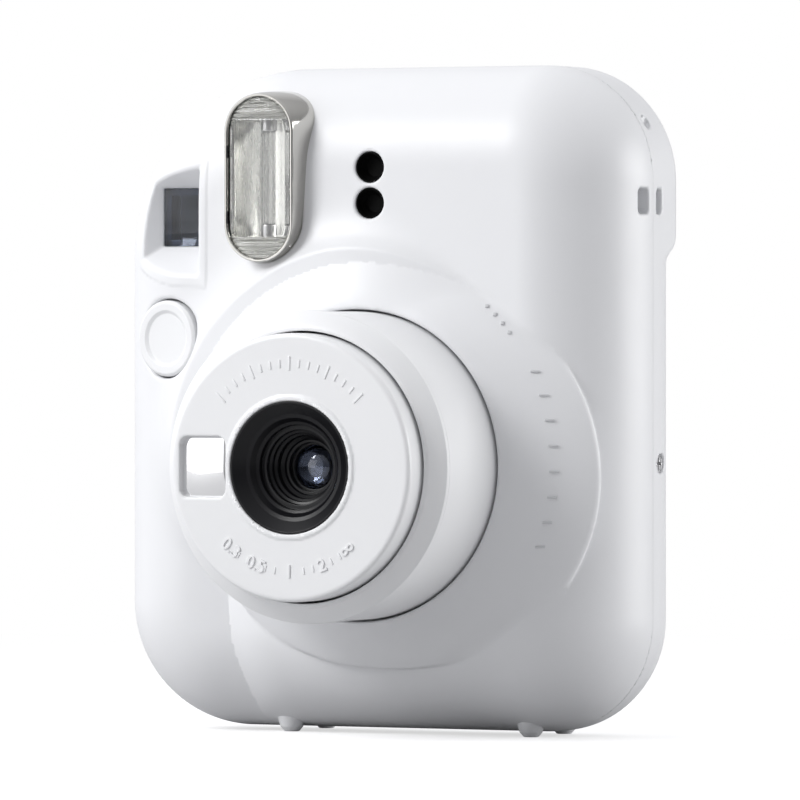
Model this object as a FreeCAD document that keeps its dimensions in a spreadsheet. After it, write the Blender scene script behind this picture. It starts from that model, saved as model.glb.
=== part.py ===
"""Instant camera: two moulded shells, a twist-to-extend lens, a film transport and two doors.

The frame's origin is under the middle of the camera, at the feet. X is to the right of a person
facing the front, Y runs from the lens to the back, and Z is up. All sizes are in millimetres.
"""
import FreeCAD, Part
import math
import os
import re

import Sketcher
from FreeCAD import Placement, Rotation, Vector

SIZES = {
    # outline of the two shells
    "body_width": 104.0, "body_base": 0.8, "body_top": 122.0,
    "corner_top_left": 35.0, "corner_top_right": 21.0,
    "corner_bottom_right": 20.5, "corner_bottom_left": 23.0,
    "parting_y": 17.2, "front_y": -1.8, "rear_y": 30.5, "ridge_y": 33.3,
    "front_round": 18.5, "rear_round": 10.0, "ridge_round": 8.0, "wall": 2.0,
    "ridge_foot": 88.0, "ridge_slope": 7.0,
    # lens position and collar
    "lens_x": 4.0, "lens_z": 49.3,
    "collar_y": -7.1, "collar_hole": 28.3, "collar_front": 28.8,
    "collar_back_y": 4.45, "collar_back": 43.0,
    "collar_seat_y": -4.0, "collar_seat": 30.0, "collar_inside_y": 0.5, "collar_inside": 35.5,
    # turning ring
    "ring_radius": 27.9, "ring_ridge": 28.1, "ring_bore": 26.2, "ring_lip": 24.4,
    "ring_front_y": -28.3, "ring_ridge_y": -25.6, "ring_lip_back_y": -26.6,
    "ring_flange": 29.6, "ring_flange_y": -2.9, "ring_back_y": -1.4,
    # sliding barrel
    "barrel_radius": 24.0, "barrel_bore": 22.4, "barrel_face_y": -33.0, "barrel_edge": 1.4,
    "barrel_wall_y": -31.0, "barrel_back_y": -8.0, "barrel_flange": 25.8, "barrel_flange_y": -9.6,
    "barrel_lip": 12.4, "lip_front_y": -33.3, "barrel_opening": 11.9,
    "key_width": 2.0, "key_radius": 22.8, "keyway_width": 2.5, "keyway_radius": 23.2, "key_count": 3,
    "key_root": 0.5,
    # lens guide
    "guide_radius": 22.0, "guide_bore": 20.8, "guide_front_y": -21.5, "guide_back_y": 3.5,
    "guide_flange": 25.6, "guide_flange_y": 2.0, "key_back_y": -2.0,
    # optics
    "hood_front_y": -33.1, "hood_mouth": 11.5, "hood_step_y": -29.8, "hood_step": 7.6,
    "hood_throat_y": -28.8, "hood_throat": 6.7, "hood_trap_y": -26.6, "hood_trap": 5.7,
    "hood_seat_y": -24.6, "hood_seat": 4.4, "hood_back_y": -23.4, "hood_body": 10.4,
    "housing_back_y": -22.1, "housing_hole": 4.0,
    "front_lens_radius": 3.95, "front_lens_ball": 6.0, "front_lens_apex_y": -23.9,
    "aperture_y": -21.0, "aperture_back_y": -20.6, "aperture_radius": 2.4,
    "cell_radius": 9.4, "cell_bore": 8.4, "cell_back_y": -13.0,
    "rear_lens_y": -17.6, "rear_lens_back_y": -14.6, "rear_lens_ball": 16.0, "cell_lip": 7.6,
    "blade_y": -21.8, "blade_thick": 0.5, "blade_reach": 5.6, "blade_radius": 2.9,
    "blade_pin": 0.6, "blade_hole": 0.66, "blade_hub": 1.3, "blade_arm": 1.6, "blade_clear": 0.1,
    "lens_clear": 0.05,
    # selfie mirror
    "mirror_x": -13.6, "mirror_width": 9.2, "mirror_height": 11.0, "mirror_corner": 1.6,
    "mirror_y": -31.9, "mirror_back_y": -30.8, "mirror_boss_y": -29.8, "mirror_boss_wall": 0.9,
    "mirror_fit": 0.1,
    # shutter button
    "button_x": -37.98, "button_y": -1.25, "button_z": 72.3, "button_tilt": 14.0,
    "button_radius": 7.0, "button_hole": 7.3, "button_proud": 0.5, "button_dish": 5.0,
    "button_dish_depth": 0.5, "button_flange": 8.1, "button_flange_depth": 3.4,
    "button_flange_thick": 1.0, "button_chamber": 8.5, "button_chamber_depth": 3.2,
    "button_boss": 9.8, "button_boss_depth": 9.0, "button_stem": 2.2, "button_stem_depth": 5.9,
    "switch_depth": 7.2, "switch_thick": 1.4, "spring_wire": 0.35, "coil_end": 1.1, "button_spring_radius": 3.6,
    "button_spring_turns": 3.0,
    # viewfinder
    "finder_x_low": -42.0, "finder_x_high": -32.5, "finder_z_low": 89.3, "finder_z_high": 100.0,
    "finder_y": 5.0, "finder_glass": 1.2, "finder_mouth_x_low": -48.0, "finder_mouth_x_high": -31.2,
    "finder_mouth_z_low": 84.0, "finder_mouth_z_high": 104.2, "finder_mouth_y": -1.9,
    "finder_wall": 1.0, "finder_tube_back_y": 28.2, "eyepiece_y": 31.8, "eyepiece_frame_y": 33.1,
    "eyepiece_half": 4.2, "eyepiece_frame": 6.0, "eyepiece_base_y": 29.8, "eyepiece_thick": 1.0,
    # flash
    "flash_x": -16.6, "flash_z": 101.6, "flash_width": 12.8, "flash_height": 29.5,
    "flash_front_y": -6.4, "flash_glass_y": -4.4, "bezel_width": 15.6, "bezel_height": 32.3,
    "bezel_front_y": -5.9, "bezel_back_y": 7.6,
    "reflector_half_width": 5.4, "reflector_half_height": 10.6, "reflector_depth": 8.0,
    "reflector_bowl": 4.9, "reflector_bowl_y": -2.6, "reflector_front_y": -4.4,
    "tube_radius": 1.1, "tube_y": -1.2, "tube_half": 10.0,
    "capacitor_radius": 4.5, "capacitor_x": 9.0, "capacitor_length": 26.0,
    "capacitor_y": 7.5, "capacitor_z": 109.0,
    # light sensors
    "sensor_radius": 2.8, "sensor_z_low": 96.9, "sensor_z_high": 103.4, "sensor_depth": 2.2,
    "sensor_inset": 0.25,
    # chassis, film gate and pack
    "gate_y": 17.2, "gate_back_y": 18.8, "chassis_x_low": -30.6, "chassis_x_high": 38.4,
    "chassis_z_low": 8.0, "chassis_z_high": 98.4, "rail_thick": 1.9, "rail_back_y": 26.6,
    "gate_width": 47.0, "gate_height": 63.0,
    "chamber_front_y": 3.5, "chamber_front_half": 23.0, "chamber_back_half_x": 25.5,
    "chamber_back_half_z": 33.5, "chamber_wall": 2.0,
    "pack_x_low": -28.0, "pack_x_high": 36.0, "pack_z_low": 10.2, "pack_z_high": 101.4,
    "pack_front_y": 19.0, "pack_back_y": 28.0, "pack_wall": 1.2, "pack_frame": 0.5,
    "sheets_thick": 3.4, "sheet_inset": 4.0,
    "claw_x": -25.6, "claw_width": 3.6, "claw_z": 13.0, "claw_spring_y": 15.1,
    "claw_height": 26.0, "claw_y": 15.4,
    "claw_thick": 1.4, "claw_tip": 1.2, "claw_tip_y": 19.6, "claw_slot": 0.5, "claw_travel": 6.0,
    "claw_spring_radius": 1.5, "claw_spring_z": 39.2, "claw_spring_length": 9.0,
    "claw_spring_turns": 4.0, "claw_tab": 1.2,
    # rollers, bracket and gears
    "roller_z": 106.0, "drive_y": 23.6, "press_y": 16.6, "roller_radius": 3.45,
    "roller_x_low": -25.2, "roller_x_high": 33.4, "journal": 1.5, "journal_hole": 1.56,
    "bracket_x_low": -27.6, "bracket_x_high": 35.4, "bracket_thick": 1.4,
    "bracket_y": 12.4, "bracket_back_y": 29.4, "bracket_bar": 1.6,
    "bracket_z_low": 101.6, "bracket_z_high": 110.8,
    "end_gear_x": -29.6, "end_gear_width": 1.4,
    "gear_module": 0.5, "tooth_tip": 0.8, "tooth_root": 1.4, "tooth_blank": 1.2,
    "tooth_tip_half": 0.38, "tooth_root_half": 1.05, "end_teeth": 14.0, "drive_teeth": 24.0, "idler_teeth": 21.0,
    "motor_teeth": 12.0, "gear_x": 40.2, "gear_width": 1.6, "train_angle": 46.0,
    "gear_plate_x": 38.6, "gear_plate_thick": 0.9, "gear_plate_y": 6.0, "gear_plate_back_y": 27.6,
    "gear_plate_z": 84.4, "gear_plate_top": 111.0, "stud": 1.2, "stud_hole": 1.26,
    "motor_radius": 6.0, "motor_x": 13.0, "motor_shaft": 1.0, "motor_hole": 1.06, "motor_bore": 5.0,
    # board, cells and contacts
    "board_x_low": -24.0, "board_x_high": 1.8, "board_y": 9.0, "board_thick": 1.0,
    "board_z_low": 84.0, "board_z_high": 115.0,
    "cell_x": -41.0, "cell_y": 17.2, "battery_radius": 7.75, "battery_length": 25.6,
    "battery_tip": 3.0, "battery_tip_height": 1.1, "battery_z": 20.0, "battery_gap": 0.1,
    "contact_thick": 0.5, "contact_half": 6.5,
    # doors
    "door_x_low": -30.0, "door_hinge_x": 46.6, "door_hinge_y": 27.2, "door_z_low": 8.0,
    "hinge_z_low": 16.0,
    "door_z_high": 86.0, "door_gap": 0.3, "knuckle": 1.8, "knuckle_clear": 2.45,
    "hinge_pin": 0.8, "hinge_hole": 0.86, "ear_height": 6.0, "ear_reach": 2.6, "ear_half": 0.9,
    "door_inner_y": 26.5,
    "pack_window_z": 46.0, "pack_window_half_x": 6.0, "pack_window_half_z": 12.0,
    "window_thick": 1.0, "leaf_x": 17.0, "leaf_z": 58.0, "leaf_half_x": 3.0, "leaf_half_z": 12.0,
    "leaf_thick": 0.4,
    "latch_x": -29.4, "latch_width": 8.0, "latch_half_height": 7.0, "latch_neck_half": 6.0,
    "latch_base_y": 29.4, "latch_neck_y": 30.0, "latch_top_y": 31.4, "latch_clear": 0.15, "latch_slip": 0.05,
    "latch_spring_half": 4.0, "latch_spring_length": 2.8, "latch_spring_wall": 0.3,
    "latch_spring_thick": 0.5,
    "cell_door_y": 9.3, "cell_door_back_y": 25.3, "cell_door_z_low": 19.0,
    "cell_door_z_high": 75.0, "cell_hinge_x": -49.2, "cell_knuckle": 1.3, "cell_knuckle_clear": 1.8,
    "cell_pin": 0.6, "cell_pin_hole": 0.66,
    # counter
    "dial_x": -38.5, "dial_z": 81.4, "dial_radius": 4.8, "dial_y": 26.8, "dial_thick": 0.9,
    "dial_stud": 0.9, "dial_hole": 0.95,
    "counter_half": 2.2, "counter_rise": 3.2, "counter_y": 29.2, "counter_thick": 1.0,
    # openings through the shells
    "slot_x_low": -26.0, "slot_x_high": 34.0, "slot_y_low": 17.8, "slot_y_high": 22.2,
    "strap_z_low": 94.8, "strap_z_high": 99.5, "strap_front_y": 12.3, "strap_bar_y": 15.6,
    "strap_bar_back_y": 18.8, "strap_back_y": 21.0, "strap_depth": 6.0,
    # screws and feet
    "screw_radius": 1.7, "screw_head": 1.4, "screw_hole": 1.75, "screw_recess": 0.5,
    "screw_shank": 0.8, "screw_length": 6.5, "screw_boss": 2.8, "screw_skin": 0.3,
    "side_screw_y": 20.8, "side_screw_z": 49.6, "base_screw_x": 24.0,
    "base_screw_y": 22.8, "foot_radius": 1.7, "foot_top": 2.6, "foot_height": 3.4,
    "foot_front_y": 11.0, "foot_back_y": 24.8, "foot_x_low": -18.5, "foot_x_high": 30.5,
    "eyelet": 1.2, "eyelet_y": 20.3, "eyelet_z": 111.5, "eyelet_x": 48.2,
}

AXES = {
    "+X": Rotation(Vector(0, 1, 0), 90), "-X": Rotation(Vector(0, 1, 0), -90),
    "+Y": Rotation(Vector(1, 0, 0), -90), "-Y": Rotation(Vector(1, 0, 0), 90),
    "+Z": Rotation(), "-Z": Rotation(Vector(1, 0, 0), 180),
}
TIGHT = 1e-4

doc = FreeCAD.newDocument("instant_camera")
sheet = doc.addObject("Spreadsheet::Sheet", "Sizes")
for row, (alias, size) in enumerate(SIZES.items(), start=1):
    sheet.set(f"A{row}", alias)
    sheet.set(f"B{row}", str(size))
    sheet.setAlias(f"B{row}", alias)
doc.recompute()

subparts = []


def formula(text):
    """Point the size names in a formula at the sheet."""
    return re.sub(r"[a-z][a-z_]+", lambda word: f"Sizes.{word.group()}" if word.group() in SIZES
                  else word.group(), text)


def bind(item, **formulas):
    """Bind properties of an object to formulas."""
    for name, text in formulas.items():
        item.setExpression(name, formula(text))


def move(item, x="0", y="0", z="0"):
    """Bind an object's place to formulas."""
    for axis, text in zip("xyz", (x, y, z)):
        item.setExpression(f"Placement.Base.{axis}", formula(text))
    return item


def block(x, y, z):
    """Box between two formulas on each axis."""
    item = doc.addObject("Part::Box", "block")
    bind(item, Length=f"({x[1]}) - ({x[0]})", Width=f"({y[1]}) - ({y[0]})",
         Height=f"({z[1]}) - ({z[0]})")
    return move(item, x[0], y[0], z[0])


def rod(radius, length, start, axis):
    """Cylinder from a start point along a named axis."""
    item = doc.addObject("Part::Cylinder", "rod")
    item.Placement = Placement(Vector(), AXES[axis])
    bind(item, Radius=radius, Height=length)
    return move(item, *start)


def taper(radius, end_radius, length, start, axis):
    """Cone from a start point along a named axis."""
    item = doc.addObject("Part::Cone", "taper")
    item.Placement = Placement(Vector(), AXES[axis])
    bind(item, Radius1=radius, Radius2=end_radius, Height=length)
    return move(item, *start)


def wedge(x, y, z, end_x, end_z):
    """Frustum whose rectangle changes from x, z at the low y to end_x, end_z at the high y."""
    item = doc.addObject("Part::Wedge", "wedge")
    bind(item, Xmin=x[0], Xmax=x[1], Ymin=y[0], Ymax=y[1], Zmin=z[0], Zmax=z[1],
         X2min=end_x[0], X2max=end_x[1], Z2min=end_z[0], Z2max=end_z[1])
    return item


def fuse(*items):
    """Union of two or more objects."""
    item = doc.addObject("Part::MultiFuse", "fuse")
    item.Shapes = list(items)
    return item


def cut(base, *tools):
    """A base with one or more tools taken away."""
    item = doc.addObject("Part::Cut", "cut")
    item.Base = base
    item.Tool = tools[0] if len(tools) == 1 else fuse(*tools)
    return item


def common(first, second):
    """What two objects share."""
    item = doc.addObject("Part::Common", "common")
    item.Base = first
    item.Tool = second
    return item


def subpart(node, item):
    """Name an object as a finished piece of the camera."""
    item.Label = node
    subparts.append(item)
    return item


def along_lens(start_y, radius, end_y):
    """Cylinder about the lens axis between two depths."""
    return rod(radius, f"({end_y}) - ({start_y})", ("lens_x", start_y, "lens_z"), "+Y")


def origin_plane(body, role):
    """Origin plane of a body, such as XY_Plane."""
    return next(feature for feature in body.Origin.OriginFeatures if feature.Role == role)


def outline_sketch(body, role, corners):
    """Closed polygon on one of a body's own origin planes, its corners bound to formulas."""
    sketch = body.newObject("Sketcher::SketchObject", f"{body.Name}_outline")
    sketch.AttachmentSupport = [(origin_plane(body, role), "")]
    sketch.MapMode = "FlatFace"
    count = len(corners)
    turn = 2 * math.pi / count
    ring = [Vector(math.cos(turn * step), math.sin(turn * step), 0) for step in range(count)]
    for step in range(count):
        sketch.addGeometry(Part.LineSegment(ring[step], ring[(step + 1) % count]), False)
    for step in range(count):
        sketch.addConstraint(Sketcher.Constraint("Coincident", step, 2, (step + 1) % count, 1))
    for step, corner in enumerate(corners):
        for kind, start, text in zip(("DistanceX", "DistanceY"), ring[step], corner):
            place = sketch.addConstraint(Sketcher.Constraint(kind, -1, 1, step, 1, start))
            sketch.setExpression(f"Constraints[{place}]", formula(text))
    return sketch


def turned(name, corners):
    """Body turned about the lens axis from (radius, y) corners."""
    body = doc.addObject("PartDesign::Body", name)
    sketch = outline_sketch(body, "XY_Plane", corners)
    turning = body.newObject("PartDesign::Revolution", f"{name}_turning")
    turning.Profile = sketch
    turning.ReferenceAxis = (sketch, ["V_Axis"])
    turning.Angle = 360
    return move(body, "lens_x", "0", "lens_z")


def edge_names(shape, test):
    """Names of the edges whose bounding box passes a test."""
    return [f"Edge{number}" for number, edge in enumerate(shape.Edges, start=1)
            if test(edge.BoundBox)]


def shell_blank(name, depth, face_round, inset, towards_back):
    """Closed solid of one shell: the outline padded from the parting plane, its corners rounded
    one by one and then the edge of its far face."""
    body = doc.addObject("PartDesign::Body", name)
    left, right = f"-body_width / 2 + {inset}", f"body_width / 2 - {inset}"
    low, high = f"body_base + {inset}", f"body_top - {inset}"
    sketch = outline_sketch(body, "XZ_Plane", [(left, low), (right, low), (right, high), (left, high)])
    last = body.newObject("PartDesign::Pad", f"{name}_pad")
    last.Profile = sketch
    last.Reversed = towards_back
    bind(last, Length=depth)
    doc.recompute()
    middle_z = (SIZES["body_base"] + SIZES["body_top"]) / 2
    for corner, side, level in (("corner_top_left", -1, 1), ("corner_top_right", 1, 1),
                                ("corner_bottom_right", 1, -1), ("corner_bottom_left", -1, -1)):
        def at_corner(box, side=side, level=level):
            upright = box.YLength > TIGHT and box.XLength < TIGHT and box.ZLength < TIGHT
            return upright and box.XMin * side > 0 and (box.ZMin - middle_z) * level > 0
        edges = edge_names(last.Shape, at_corner)
        rounding = body.newObject("PartDesign::Fillet", f"{name}_{corner}")
        rounding.Base = (last, edges)
        bind(rounding, Radius=f"{corner} - {inset}")
        doc.recompute()
        last = rounding
    face_y = last.Shape.BoundBox.YMax if towards_back else last.Shape.BoundBox.YMin
    edges = edge_names(last.Shape, lambda box: abs(box.YMin - face_y) < TIGHT
                       and abs(box.YMax - face_y) < TIGHT)
    rounding = body.newObject("PartDesign::Fillet", f"{name}_face_edge")
    rounding.Base = (last, edges)
    bind(rounding, Radius=face_round)
    return move(body, "0", "parting_y", "0")


def shell_pair(name, depth, face_round, towards_back):
    """Outer and inner blanks of a shell whose wall is even all over."""
    outer = shell_blank(f"{name}_outer", depth, face_round, "0", towards_back)
    inner = shell_blank(f"{name}_inner", f"{depth} - wall", f"{face_round} - wall", "wall",
                        towards_back)
    return outer, inner


def ridge_band(name, inset):
    """Prism across the top of the back that the viewfinder ridge is taken from."""
    body = doc.addObject("PartDesign::Body", name)
    corners = [("gate_y", f"ridge_foot + {inset}"), (f"rear_y - {inset}", f"ridge_foot + {inset}"),
               (f"ridge_y - {inset}", f"ridge_foot + ridge_slope + {inset}"),
               ("ridge_y + wall", f"ridge_foot + ridge_slope + {inset}"),
               ("ridge_y + wall", "body_top + wall"), ("gate_y", "body_top + wall")]
    pad = body.newObject("PartDesign::Pad", f"{name}_pad")
    pad.Profile = outline_sketch(body, "YZ_Plane", corners)
    pad.SideType = "Symmetric"
    bind(pad, Length="body_width + wall")
    return body


def stadium(width, height, start_y, end_y):
    """Upright slot shape centred on the flash window."""
    low, high = f"flash_z - ({height} - {width}) / 2", f"flash_z + ({height} - {width}) / 2"
    ends = [rod(f"{width} / 2", f"({end_y}) - ({start_y})", ("flash_x", start_y, level), "+Y")
            for level in (low, high)]
    middle = block((f"flash_x - {width} / 2", f"flash_x + {width} / 2"), (start_y, end_y), (low, high))
    return fuse(middle, *ends)


def coil(name, radius, length, turns, wire):
    """Wire spring standing on its own base, along its own Z axis."""
    path = doc.addObject("Part::Helix", f"{name}_path")
    bind(path, Radius=radius, Height=length, Pitch=f"({length}) / {turns}")
    section = doc.addObject("Part::Circle", f"{name}_section")
    section.Placement = Placement(Vector(), Rotation(Vector(1, 0, 0), 90))
    bind(section, Radius=wire)
    move(section, radius, "0", "0")
    sweep = doc.addObject("Part::Sweep", name)
    sweep.Sections = [section]
    sweep.Spine = (path, ["Edge1"])
    sweep.Solid = True
    sweep.Frenet = True
    return sweep


def gear(name, teeth, width):
    """Spur gear along its own Z axis with a tooth on its own +X."""
    body = doc.addObject("PartDesign::Body", name)
    pitch_radius = f"gear_module * {teeth} / 2"
    disc = body.newObject("Sketcher::SketchObject", f"{name}_disc")
    disc.AttachmentSupport = [(origin_plane(body, "XY_Plane"), "")]
    disc.MapMode = "FlatFace"
    disc.addGeometry(Part.Circle(Vector(), Vector(0, 0, 1), 1), False)
    disc.addConstraint(Sketcher.Constraint("Coincident", 0, 3, -1, 1))
    place = disc.addConstraint(Sketcher.Constraint("Radius", 0, 1))
    disc.setExpression(f"Constraints[{place}]", formula(f"{pitch_radius} - gear_module * tooth_blank"))
    blank = body.newObject("PartDesign::Pad", f"{name}_blank")
    blank.Profile = disc
    bind(blank, Length=width)
    root = f"{pitch_radius} - gear_module * tooth_root"
    tip = f"{pitch_radius} + gear_module * tooth_tip"
    corners = [(root, "-gear_module * tooth_root_half"), (tip, "-gear_module * tooth_tip_half"),
               (tip, "gear_module * tooth_tip_half"), (root, "gear_module * tooth_root_half")]
    tooth = body.newObject("PartDesign::Pad", f"{name}_tooth")
    tooth.Profile = outline_sketch(body, "XY_Plane", corners)
    bind(tooth, Length=width)
    doc.recompute()
    ring = body.newObject("PartDesign::PolarPattern", f"{name}_teeth")
    ring.Originals = [tooth]
    ring.Axis = (tooth.Profile[0], ["N_Axis"])
    ring.Angle = 360
    bind(ring, Occurrences=teeth)
    body.Tip = ring
    return body


def turn_gear(item, degrees, x, y, z):
    """Lay a gear's axis along X with its first tooth turned up from straight down."""
    item.Placement = Placement(Vector(), Rotation(Vector(1, 0, 0), degrees).multiply(AXES["+X"]))
    return move(item, x, y, z)


# ---------------------------------------------------------------- shells
front_outer, front_inner = shell_pair("front", "(parting_y - front_y)", "front_round", False)
rear_outer, rear_inner = shell_pair("rear", "(rear_y - parting_y)", "rear_round", True)
ridge_outer, ridge_inner = shell_pair("ridge", "(ridge_y - parting_y)", "ridge_round", True)
rear_solid = fuse(rear_outer, common(ridge_outer, ridge_band("ridge_band_outer", "0")))
rear_hollow = fuse(rear_inner, common(ridge_inner, ridge_band("ridge_band_inner", "wall")))
rear_skin = cut(rear_solid, rear_hollow)
both_solid = fuse(front_outer, rear_solid)
both_skin = cut(both_solid, fuse(front_inner, rear_hollow))


def button_frame(item, depth):
    """Stand an object on the shutter button's axis, its base at a depth under the surface."""
    tilt = math.radians(SIZES["button_tilt"])
    inward = Vector(math.sin(tilt), math.cos(tilt), 0)
    item.Placement = Placement(Vector(), Rotation(Vector(0, 0, 1), inward))
    return move(item, f"button_x + ({depth}) * sin(button_tilt)",
                f"button_y + ({depth}) * cos(button_tilt)", "button_z")


def button_rod(radius, depth, end_depth):
    """Cylinder on the shutter button's axis between two depths under the surface."""
    item = doc.addObject("Part::Cylinder", "button_rod")
    bind(item, Radius=radius, Height=f"({end_depth}) - ({depth})")
    return button_frame(item, depth)


def finder_block(margin, start_y, end_y):
    """Box around the viewfinder's line of sight with a margin on every side."""
    return block((f"finder_x_low - {margin}", f"finder_x_high + {margin}"), (start_y, end_y),
                 (f"finder_z_low - {margin}", f"finder_z_high + {margin}"))


def film_door_box(gap, back):
    """Space of the film door with an even gap, from the door's inner face to behind the camera."""
    return block((f"door_x_low - {gap}", f"door_hinge_x + {gap}"), (back, "ridge_y + wall"),
                 (f"door_z_low - {gap}", f"door_z_high + {gap}"))


def cell_door_box(gap):
    """Space of the battery door with an even gap."""
    return block(("-body_width / 2 - wall", "cell_x - wall"),
                 (f"cell_door_y - {gap}", f"cell_door_back_y + {gap}"),
                 (f"cell_door_z_low - {gap}", f"cell_door_z_high + {gap}"))


def upright(radius, x, y, low, high):
    """Cylinder along Z between two levels."""
    return rod(radius, f"({high}) - ({low})", (x, y, low), "+Z")


collar = taper("collar_front", "collar_back", "collar_back_y - collar_y",
               ("lens_x", "collar_y", "lens_z"), "+Y")
collar_hollow = taper("collar_seat", "collar_inside", "collar_inside_y - collar_seat_y",
                      ("lens_x", "collar_seat_y", "lens_z"), "+Y")
collar_hole = along_lens("collar_y - wall", "collar_hole", "front_y + wall")
finder_mouth = wedge(("finder_mouth_x_low", "finder_mouth_x_high"), ("finder_mouth_y", "finder_y"),
                     ("finder_mouth_z_low", "finder_mouth_z_high"),
                     ("finder_x_low", "finder_x_high"), ("finder_z_low", "finder_z_high"))
finder_boss = common(block(("finder_mouth_x_low - wall", "finder_mouth_x_high + wall / 2"),
                           ("front_y", "finder_y + finder_glass"),
                           ("finder_mouth_z_low - wall / 2", "finder_mouth_z_high + wall / 2")),
                     front_outer)
button_sleeve = common(button_rod("button_boss", "-wall", "button_boss_depth"), front_outer)
strap_front = block(("body_width / 2 - strap_depth", "body_width / 2 + wall"),
                    ("strap_front_y", "strap_bar_y"), ("strap_z_low", "strap_z_high"))
strap_back = block(("body_width / 2 - strap_depth", "body_width / 2 + wall"),
                   ("strap_bar_back_y", "strap_back_y"), ("strap_z_low", "strap_z_high"))
sensor_holes = [rod("sensor_radius", "wall * 3", ("lens_x", "front_y - wall", level), "+Y")
                for level in ("sensor_z_low", "sensor_z_high")]
cell_door_space = fuse(cell_door_box("door_gap"),
                       upright("cell_knuckle_clear", "cell_hinge_x", "cell_door_back_y",
                               "cell_door_z_low - door_gap", "cell_door_z_high + door_gap"))
front_walls = fuse(cut(fuse(front_outer, collar), front_inner, collar_hollow), finder_boss, button_sleeve)
subpart("front_cover", cut(
    front_walls, collar_hole, finder_mouth, finder_block("0", "finder_y - wall", "gate_y"),
    stadium("bezel_width", "bezel_height", "bezel_front_y - wall", "bezel_back_y + wall"),
    button_rod("button_hole", "-wall * 2", "button_chamber_depth"),
    button_rod("button_chamber", "button_chamber_depth", "button_boss_depth + wall"),
    strap_front, cell_door_space, *sensor_holes))


def hinge_ears(x, y, low, high, radius, towards, solid):
    """Two knuckles of a shell, at the ends of a hinge line, each with a web back to the wall."""
    ears = []
    for start, end in ((low, f"{low} + ear_height"), (f"{high} - ear_height", high)):
        knuckle = upright(radius, x, y, start, end)
        web = block(*towards, (start, end))
        ears.append(common(fuse(knuckle, web), solid))
    return ears


def screw_set(radius, recess, length, radius_tip, tip_length):
    """Screw-like shapes at the three case screws: a head part and a shank part."""
    shapes = []
    for start, axis in (((f"body_width / 2 - {recess}", "side_screw_y", "side_screw_z"), "-X"),
                        (("-base_screw_x", "base_screw_y", f"body_base + {recess}"), "+Z"),
                        (("base_screw_x", "base_screw_y", f"body_base + {recess}"), "+Z")):
        shapes.append(fuse(rod(radius, length, start, axis), rod(radius_tip, tip_length, start, axis)))
    return shapes


door_space = fuse(film_door_box("door_gap", "door_inner_y"),
                  upright("knuckle_clear", "door_hinge_x", "door_hinge_y",
                          "door_z_low - door_gap", "door_z_high + door_gap"))
door_ears = hinge_ears("door_hinge_x", "door_hinge_y", "hinge_z_low", "door_z_high", "knuckle",
                       (("door_hinge_x", "door_hinge_x + ear_reach"),
                        ("door_hinge_y - ear_half", "door_hinge_y + ear_half")), rear_solid)
cell_ears = hinge_ears("cell_hinge_x", "cell_door_back_y", "cell_door_z_low", "cell_door_z_high",
                       "cell_knuckle", (("cell_hinge_x - ear_half", "cell_hinge_x + ear_half"),
                                        ("cell_door_back_y", "cell_door_back_y + ear_reach")),
                       rear_solid)
screw_seats = [common(seat, rear_solid)
               for seat in screw_set("screw_boss", "screw_skin", "screw_length", "screw_boss",
                                     "screw_length")]
screw_holes = screw_set("screw_hole", "-wall", "wall + screw_recess + screw_head",
                        "screw_shank", "wall * 2 + screw_length")
finder_x = "(finder_x_low + finder_x_high) / 2"
finder_z = "(finder_z_low + finder_z_high) / 2"
counter_z = "dial_z + counter_rise"


def eyepiece_block(half, start_y, end_y):
    """Square block about the eyepiece's centre."""
    return block((f"{finder_x} - {half}", f"{finder_x} + {half}"), (start_y, end_y),
                 (f"{finder_z} - {half}", f"{finder_z} + {half}"))


def counter_block(start_y, end_y):
    """Square block in line with the counter's window."""
    return block(("dial_x - counter_half", "dial_x + counter_half"), (start_y, end_y),
                 (f"{counter_z} - counter_half", f"{counter_z} + counter_half"))


dial_stud = rod("dial_stud", "rear_y - wall / 2 - dial_y + door_gap",
                ("dial_x", "dial_y - door_gap", "dial_z"), "+Y")
rear_openings = [
    door_space, cell_door_space, strap_back,
    eyepiece_block("eyepiece_frame", "eyepiece_base_y", "ridge_y + wall"),
    counter_block("rear_y - wall * 2", "rear_y + wall"),
    block(("slot_x_low", "slot_x_high"), ("slot_y_low", "slot_y_high"),
          ("body_top - wall * 2", "body_top + wall")),
    rod("eyelet", "body_width / 2 + wall - eyelet_x", ("eyelet_x", "eyelet_y", "eyelet_z"), "+X")]
subpart("rear_cover", fuse(
    cut(fuse(rear_skin, *screw_seats), *rear_openings, *screw_holes), dial_stud,
    cut(door_ears[0], upright("hinge_pin", "door_hinge_x", "door_hinge_y", "0", "door_z_high")),
    cut(door_ears[1], upright("hinge_pin", "door_hinge_x", "door_hinge_y", "0", "body_top")),
    cut(cell_ears[0], upright("cell_pin", "cell_hinge_x", "cell_door_back_y", "0", "body_top")),
    cut(cell_ears[1], upright("cell_pin", "cell_hinge_x", "cell_door_back_y", "0", "body_top"))))
subpart("case_screws", fuse(*screw_set("screw_radius", "screw_recess", "screw_head", "screw_shank",
                                       "screw_length")))
subpart("feet", fuse(*[
    cut(taper("foot_radius", "foot_top", "foot_height", (x, y, "0"), "+Z"), both_solid)
    for x in ("foot_x_low", "foot_x_high") for y in ("foot_front_y", "foot_back_y")]))

# ---------------------------------------------------------------- doors
latch_space = fuse(
    block(("door_x_low - wall", "latch_x + latch_width + latch_spring_length + latch_clear"),
          ("latch_base_y - latch_slip", "latch_neck_y + latch_clear"),
          ("lens_z - latch_half_height - latch_clear", "lens_z + latch_half_height + latch_clear")),
    block(("door_x_low - wall", "latch_x + latch_width + latch_spring_length + latch_clear"),
          ("latch_neck_y", "rear_y + wall"),
          ("lens_z - latch_neck_half - latch_clear", "lens_z + latch_neck_half + latch_clear")))


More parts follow.
